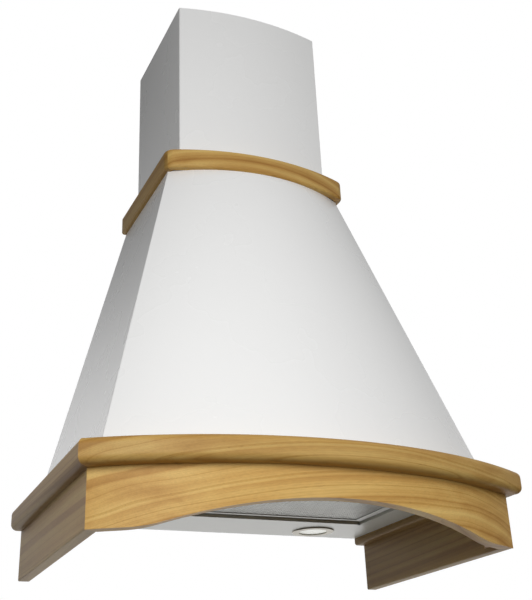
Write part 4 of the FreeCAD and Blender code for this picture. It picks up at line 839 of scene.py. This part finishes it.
def screw(bm, places, sizes):
    """A pan-head screw with a cross recess, in place of the plain one at these places."""
    low = Vector([min(place[axis] for place in places) for axis in range(3)])
    high = Vector([max(place[axis] for place in places) for axis in range(3)])
    extent = high - low
    axis = max(range(3), key=lambda index: abs(extent[index] - SCREW_HEAD_WIDTH))
    middle = (low + high) / 2

    def reach(end):
        near = [place for place in places if abs(place[axis] - end) < 1e-4]
        return max((math.hypot(*[place[i] - middle[i] for i in range(3) if i != axis]))
                   for place in near)

    head_high = reach(high[axis]) > reach(low[axis])
    direction = Vector((0, 0, 0))
    direction[axis] = 1.0 if head_high else -1.0
    tip = middle.copy()
    tip[axis] = low[axis] if head_high else high[axis]
    length, head, shank = extent[axis], SCREW_HEAD_WIDTH / 2, 0.0019
    root, crown = shank * 0.78, 0.0022
    turns = max(1, int((length - crown) / sizes.thread_pitch))
    pitch = (length - crown) / turns
    profile = [(0.0, 0.0), (root, 0.0)]
    for turn in range(turns):
        profile += [(shank, (turn + 0.5) * pitch), (root, (turn + 0.98) * pitch)]
    seat = length - crown
    profile += [(head * 0.97, seat), (head, seat + crown * 0.25), (head * 0.93, seat + crown * 0.7),
                (head * 0.72, length)]
    start = spun(bm, profile, 16)
    rim = [edge for edge in bm.edges if edge.is_boundary
           and all(vert.co.z > length - 1e-6 for vert in edge.verts)
           and all(math.hypot(vert.co.x, vert.co.y) < head for vert in edge.verts)]
    top = bmesh.ops.contextual_create(bm, geom=rim)["faces"][0]
    bmesh.ops.inset_region(bm, faces=[top], thickness=head * 0.18, use_even_offset=True)
    for index, vert in enumerate(top.verts):
        ratio = (0.95, 0.5, 0.3, 0.5)[index % 4]
        vert.co.x *= ratio
        vert.co.y *= ratio
    walls = bmesh.ops.extrude_face_region(bm, geom=[top])["geom"]
    bottom = [item for item in walls if isinstance(item, bmesh.types.BMVert)]
    bmesh.ops.delete(bm, geom=[top], context="FACES_ONLY")
    bmesh.ops.scale(bm, verts=bottom, vec=(0.6, 0.6, 1.0))
    bmesh.ops.translate(bm, verts=bottom, vec=(0, 0, -crown * 0.7))
    matrix = Matrix.Translation(tip) @ along(direction)
    bm.verts.ensure_lookup_table()
    bmesh.ops.transform(bm, matrix=matrix, verts=bm.verts[start:])


class HOOD_OT_screws(bpy.types.Operator):
    """Build every screw with its thread and cross recess"""
    bl_idname = "hood.screws"
    bl_label = "Screws"

    def execute(self, context):
        sizes = context.scene.hood_sizes
        plated = zinc_plated(context)
        for node, name in (("trim_screws", "cap_screws_cross"),
                           ("collar_screws", "collar_screws_cross"),
                           ("blower_screws", "blower_screws_cross")):
            whole = bmesh.new()
            for places in islands(node):
                one = bmesh.new()
                screw(one, places, sizes)
                outward(one)
                part = bpy.data.meshes.new(name)
                one.to_mesh(part)
                one.free()
                whole.from_mesh(part)
                bpy.data.meshes.remove(part)
            piece(name, whole, plated, node)
        return {"FINISHED"}


class HOOD_OT_blower(bpy.types.Operator):
    """Build the motor and dress the blower, the spigot and its flaps"""
    bl_idname = "hood.blower"
    bl_label = "Blower"

    def execute(self, context):
        colours = context.scene.hood_colours
        casing = moulded_plastic("Dark polypropylene, blower", colours.plastic, 0.46, 0.9, 0.2)
        black = moulded_plastic("Black polypropylene, spigot", shade(colours.plastic, 0.6),
                                0.5, 0.7, 0.2)
        dress(casing, "blower_case_left", "blower_case_right")
        dress(black, "outlet_spigot", "flap_front", "flap_rear")
        plated = zinc_plated(context)
        dress(plated, "motor_shaft", "flap_pin")
        self.motor(context, plated)
        return {"FINISHED"}

    def motor(self, context, plated):
        """Two cast end bells with vents round a stack of laminations, drawn up by bolts."""
        slots = context.scene.hood_sizes.motor_slots
        shaft_low, shaft_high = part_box("motor_shaft")
        axis_y = (shaft_low.y + shaft_high.y) / 2
        axis_z = (shaft_low.z + shaft_high.z) / 2
        low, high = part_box("motor")
        can, boss, bore, edge = 0.040, 0.013, 0.00405, 0.003
        boss_length, vent_rim, vent_depth = 0.006, 0.0012, 0.0022
        start, end = low.x, high.x - boss_length
        turn = Matrix.Translation((0, axis_y, axis_z)) @ along((1, 0, 0))
        bell = 0.021
        bells = bmesh.new()
        steps = slots * 4
        front = [(can - 0.004, start + bell), (can, start + bell), (can, start + edge),
                 (can - edge * 0.3, start + edge * 0.3), (can - edge, start),
                 (can * 0.55, start), (boss, start), (0.0, start)]
        rear = [(can - 0.004, end - bell), (can, end - bell), (can, end - edge),
                (can - edge * 0.3, end - edge * 0.3), (can - edge, end),
                (can * 0.5, end), (boss, end), (boss, high.x - 0.001), (boss - 0.001, high.x),
                (bore, high.x), (bore, end - 0.004), (can - 0.004, end - bell)]
        spun(bells, front + [(0.0, start + 0.003), (can - 0.004, start + 0.003),
                             (can - 0.004, start + bell)], steps)
        spun(bells, rear, steps)
        outward(bells)
        walls = [face for face in bells.faces
                 if abs(face.normal.z) < 0.3 and face.calc_area() > 1e-6
                 and math.hypot(*face.calc_center_median().xy) > can * 0.97
                 and int((math.atan2(*face.calc_center_median().yx) % (2 * math.pi))
                         / (2 * math.pi) * steps) % 4 < 2
                 and (start + edge < face.calc_center_median().z < start + bell
                      or end - bell < face.calc_center_median().z < end - edge)]
        bmesh.ops.inset_individual(bells, faces=walls, thickness=vent_rim,
                                   use_even_offset=True)
        for face in walls:
            inward = -face.normal * vent_depth
            grown = bmesh.ops.extrude_face_region(bells, geom=[face])["geom"]
            bmesh.ops.translate(bells, vec=inward, verts=[
                item for item in grown if isinstance(item, bmesh.types.BMVert)])
            bmesh.ops.delete(bells, geom=[face], context="FACES_ONLY")
        bmesh.ops.transform(bells, matrix=turn, verts=bells.verts[:])
        piece("motor_end_bells", bells, cast_aluminium(context), "motor")
        stack = bmesh.new()
        spun(stack, [(can - 0.0085, start + bell - 0.001), (can - 0.0015, start + bell - 0.001),
                     (can - 0.0015, end - bell + 0.001), (can - 0.0085, end - bell + 0.001)], 48)
        outward(stack)
        bmesh.ops.transform(stack, matrix=turn, verts=stack.verts[:])
        piece("motor_laminations", stack, motor_steel(context), "motor", False)


class HOOD_OT_electrics(bpy.types.Operator):
    """Dress the terminal box, its lid, the cable gland and the capacitor"""
    bl_idname = "hood.electrics"
    bl_label = "Electrics"

    def execute(self, context):
        colours = context.scene.hood_colours
        box = moulded_plastic("Black nylon, terminal box", shade(colours.plastic, 0.8), 0.48,
                              0.6, 0.2)
        dress(box, "terminal_box", "terminal_lid")
        dress(moulded_plastic("Black nylon, cable gland", shade(colours.plastic, 0.6), 0.35,
                              0.5, 0.08), "cable_gland")
        dress(rolled_aluminium("Drawn aluminium can", context, 0.95, 0.3), "capacitor")
        return {"FINISHED"}


def soft_light(name, energy, size, azimuth, elevation, distance, target):
    """A square area light at an azimuth left of the front and an elevation, in degrees."""
    turn, tilt = math.radians(azimuth), math.radians(elevation)
    away = Vector((-math.sin(turn) * math.cos(tilt), -math.cos(turn) * math.cos(tilt),
                   math.sin(tilt)))
    data = bpy.data.lights.new(name, "AREA")
    data.energy, data.size = energy, size
    lamp = bpy.data.objects.new(name, data)
    lamp.location = target + away * distance
    lamp.rotation_euler = away.to_track_quat("Z", "Y").to_euler()
    bpy.context.scene.collection.objects.link(lamp)


class HOOD_OT_stage(bpy.types.Operator):
    """Set the camera, the floor, the lights and the pale surround"""
    bl_idname = "hood.stage"
    bl_label = "Stage"

    def execute(self, context):
        studio = context.scene.hood_studio
        context.scene.view_settings.view_transform = "Standard"
        self.camera(context, studio)
        bm = bmesh.new()
        bmesh.ops.create_circle(bm, cap_ends=True, segments=64, radius=FLOOR_RADIUS)
        bmesh.ops.translate(bm, verts=bm.verts[:], vec=(0, 0, -studio.floor_drop))
        mesh = bpy.data.meshes.new("floor")
        bm.to_mesh(mesh)
        bm.free()
        material, tree, place = new_material("Pale matt floor")
        haze = add(tree, "TexNoise", {"Scale": 0.8, "Detail": 2.0}, {"Vector": place})
        tone = add(tree, "ValToRGB", {"stops": [(0.3, grey(0.58)), (0.7, grey(0.62))]},
                   {"Fac": haze.outputs["Fac"]})
        finish(tree, {"Roughness": 0.9}, {"Base Color": tone.outputs[0]})
        mesh.materials.append(material)
        ground = bpy.data.objects.new("floor", mesh)
        context.scene.collection.objects.link(ground)
        low, high = CAD_BOX
        target = (low + high) / 2
        for name, placing in LIGHTS.items():
            soft_light(name, getattr(studio, name), *placing, target)
        self.surround(context, studio)
        return {"FINISHED"}

    def camera(self, context, studio):
        """Puts the camera where the photograph was taken from."""
        forward = Vector((math.sin(studio.yaw) * math.cos(studio.pitch),
                          math.cos(studio.yaw) * math.cos(studio.pitch),
                          math.sin(studio.pitch)))
        right = forward.cross(Vector((0, 0, 1))).normalized()
        up = right.cross(forward)
        turned_right = math.cos(studio.roll) * right + math.sin(studio.roll) * up
        turned_up = -math.sin(studio.roll) * right + math.cos(studio.roll) * up
        data = bpy.data.cameras.new("camera")
        data.lens, data.sensor_width, data.shift_y = studio.lens, 36.0, studio.rise
        camera = bpy.data.objects.new("camera", data)
        camera.matrix_world = Matrix.Translation(studio.place) @ Matrix(
            (turned_right, turned_up, -forward)).transposed().to_4x4()
        context.scene.collection.objects.link(camera)
        context.scene.camera = camera

    def surround(self, context, studio):
        """A room that lights softly from above in front, with a pale wall behind the hood,
        and that the camera sees as white."""
        world = bpy.data.worlds.new("studio")
        world.use_nodes = True
        context.scene.world = world
        tree = world.node_tree
        tree.nodes.clear()
        direction = add(tree, "TexCoord").outputs["Generated"]
        right, back, height = add(tree, "SeparateXYZ", None, {0: direction}).outputs
        # Light comes down past the camera's right shoulder, and little from the left.
        side = add(tree, "Math", {"operation": "SUBTRACT"}, {0: right, 1: back})
        room = add(tree, "MapRange", {"interpolation_type": "SMOOTHSTEP", "From Min": -0.6,
                                      "From Max": 0.7, "To Min": 0.12, "To Max": 1.0},
                   {"Value": side.outputs[0]})
        above = add(tree, "MapRange", {"interpolation_type": "SMOOTHSTEP", "From Min": 0.0,
                                       "From Max": 0.3, "To Max": studio.surround},
                    {"Value": height})
        sky = add(tree, "Math", {"operation": "MULTIPLY"}, {0: room.outputs[0],
                                                            1: above.outputs[0]})
        # The wall behind is pale up to eye level and in shade above.
        facing = add(tree, "Math", {"operation": "MULTIPLY_ADD", 1: 0.25},
                     {0: right, 2: back})
        behind = add(tree, "MapRange", {"interpolation_type": "SMOOTHSTEP", "From Min": 0.48,
                                        "From Max": 0.82, "To Max": studio.wall},
                     {"Value": facing.outputs[0]})
        low = add(tree, "MapRange", {"interpolation_type": "SMOOTHSTEP", "From Min": 0.6,
                                     "From Max": 0.28}, {"Value": height})
        wall = add(tree, "Math", {"operation": "MULTIPLY"}, {0: behind.outputs[0],
                                                             1: low.outputs[0]})
        light = add(tree, "Math", {"operation": "ADD"}, {0: sky.outputs[0],
                                                         1: wall.outputs[0]})
        seen = add(tree, "LightPath").outputs["Is Camera Ray"]
        strength = add(tree, "Mix", {3: 1.0}, {0: seen, 2: light.outputs[0]})
        background = add(tree, "Background", {"Color": (1, 1, 1, 1)},
                         {"Strength": strength.outputs[0]})
        add(tree, "OutputWorld", None, {"Surface": background.outputs[0]})


class HOOD_PT_panel(bpy.types.Panel):
    """Sizes, colours and steps of the range hood"""
    bl_idname = "HOOD_PT_panel"
    bl_label = "Range hood"
    bl_space_type = "VIEW_3D"
    bl_region_type = "UI"
    bl_category = "Hood"

    def draw(self, context):
        for group in ("hood_colours", "hood_sizes", "hood_studio"):
            values = getattr(context.scene, group)
            box = self.layout.box()
            for name in values.bl_rna.properties.keys():
                if name not in ("rna_type", "name"):
                    box.prop(values, name)
        for step in STEPS:
            self.layout.operator(step.bl_idname)


STEPS = (HOOD_OT_oak, HOOD_OT_beech, HOOD_OT_paint, HOOD_OT_brackets, HOOD_OT_filter,
         HOOD_OT_lamps, HOOD_OT_controls, HOOD_OT_screws, HOOD_OT_blower, HOOD_OT_electrics,
         HOOD_OT_stage)
GROUPS = {"hood_colours": HoodColours, "hood_sizes": HoodSizes, "hood_studio": HoodStudio}


def register():
    for group in GROUPS.values():
        bpy.utils.register_class(group)
    for name, group in GROUPS.items():
        setattr(bpy.types.Scene, name, PointerProperty(type=group))
    for step in STEPS + (HOOD_PT_panel,):
        bpy.utils.register_class(step)


def unregister():
    for step in (HOOD_PT_panel,) + STEPS[::-1]:
        bpy.utils.unregister_class(step)
    for name, group in GROUPS.items():
        delattr(bpy.types.Scene, name)
        bpy.utils.unregister_class(group)


def main():
    register()
    bpy.ops.hood.stage()
    bpy.ops.hood.oak()
    bpy.ops.hood.beech()
    bpy.ops.hood.paint()
    bpy.ops.hood.brackets()
    bpy.ops.hood.filter()
    bpy.ops.hood.lamps()
    bpy.ops.hood.controls()
    bpy.ops.hood.screws()
    bpy.ops.hood.blower()
    bpy.ops.hood.electrics()


if __name__ == "__main__":
    main()
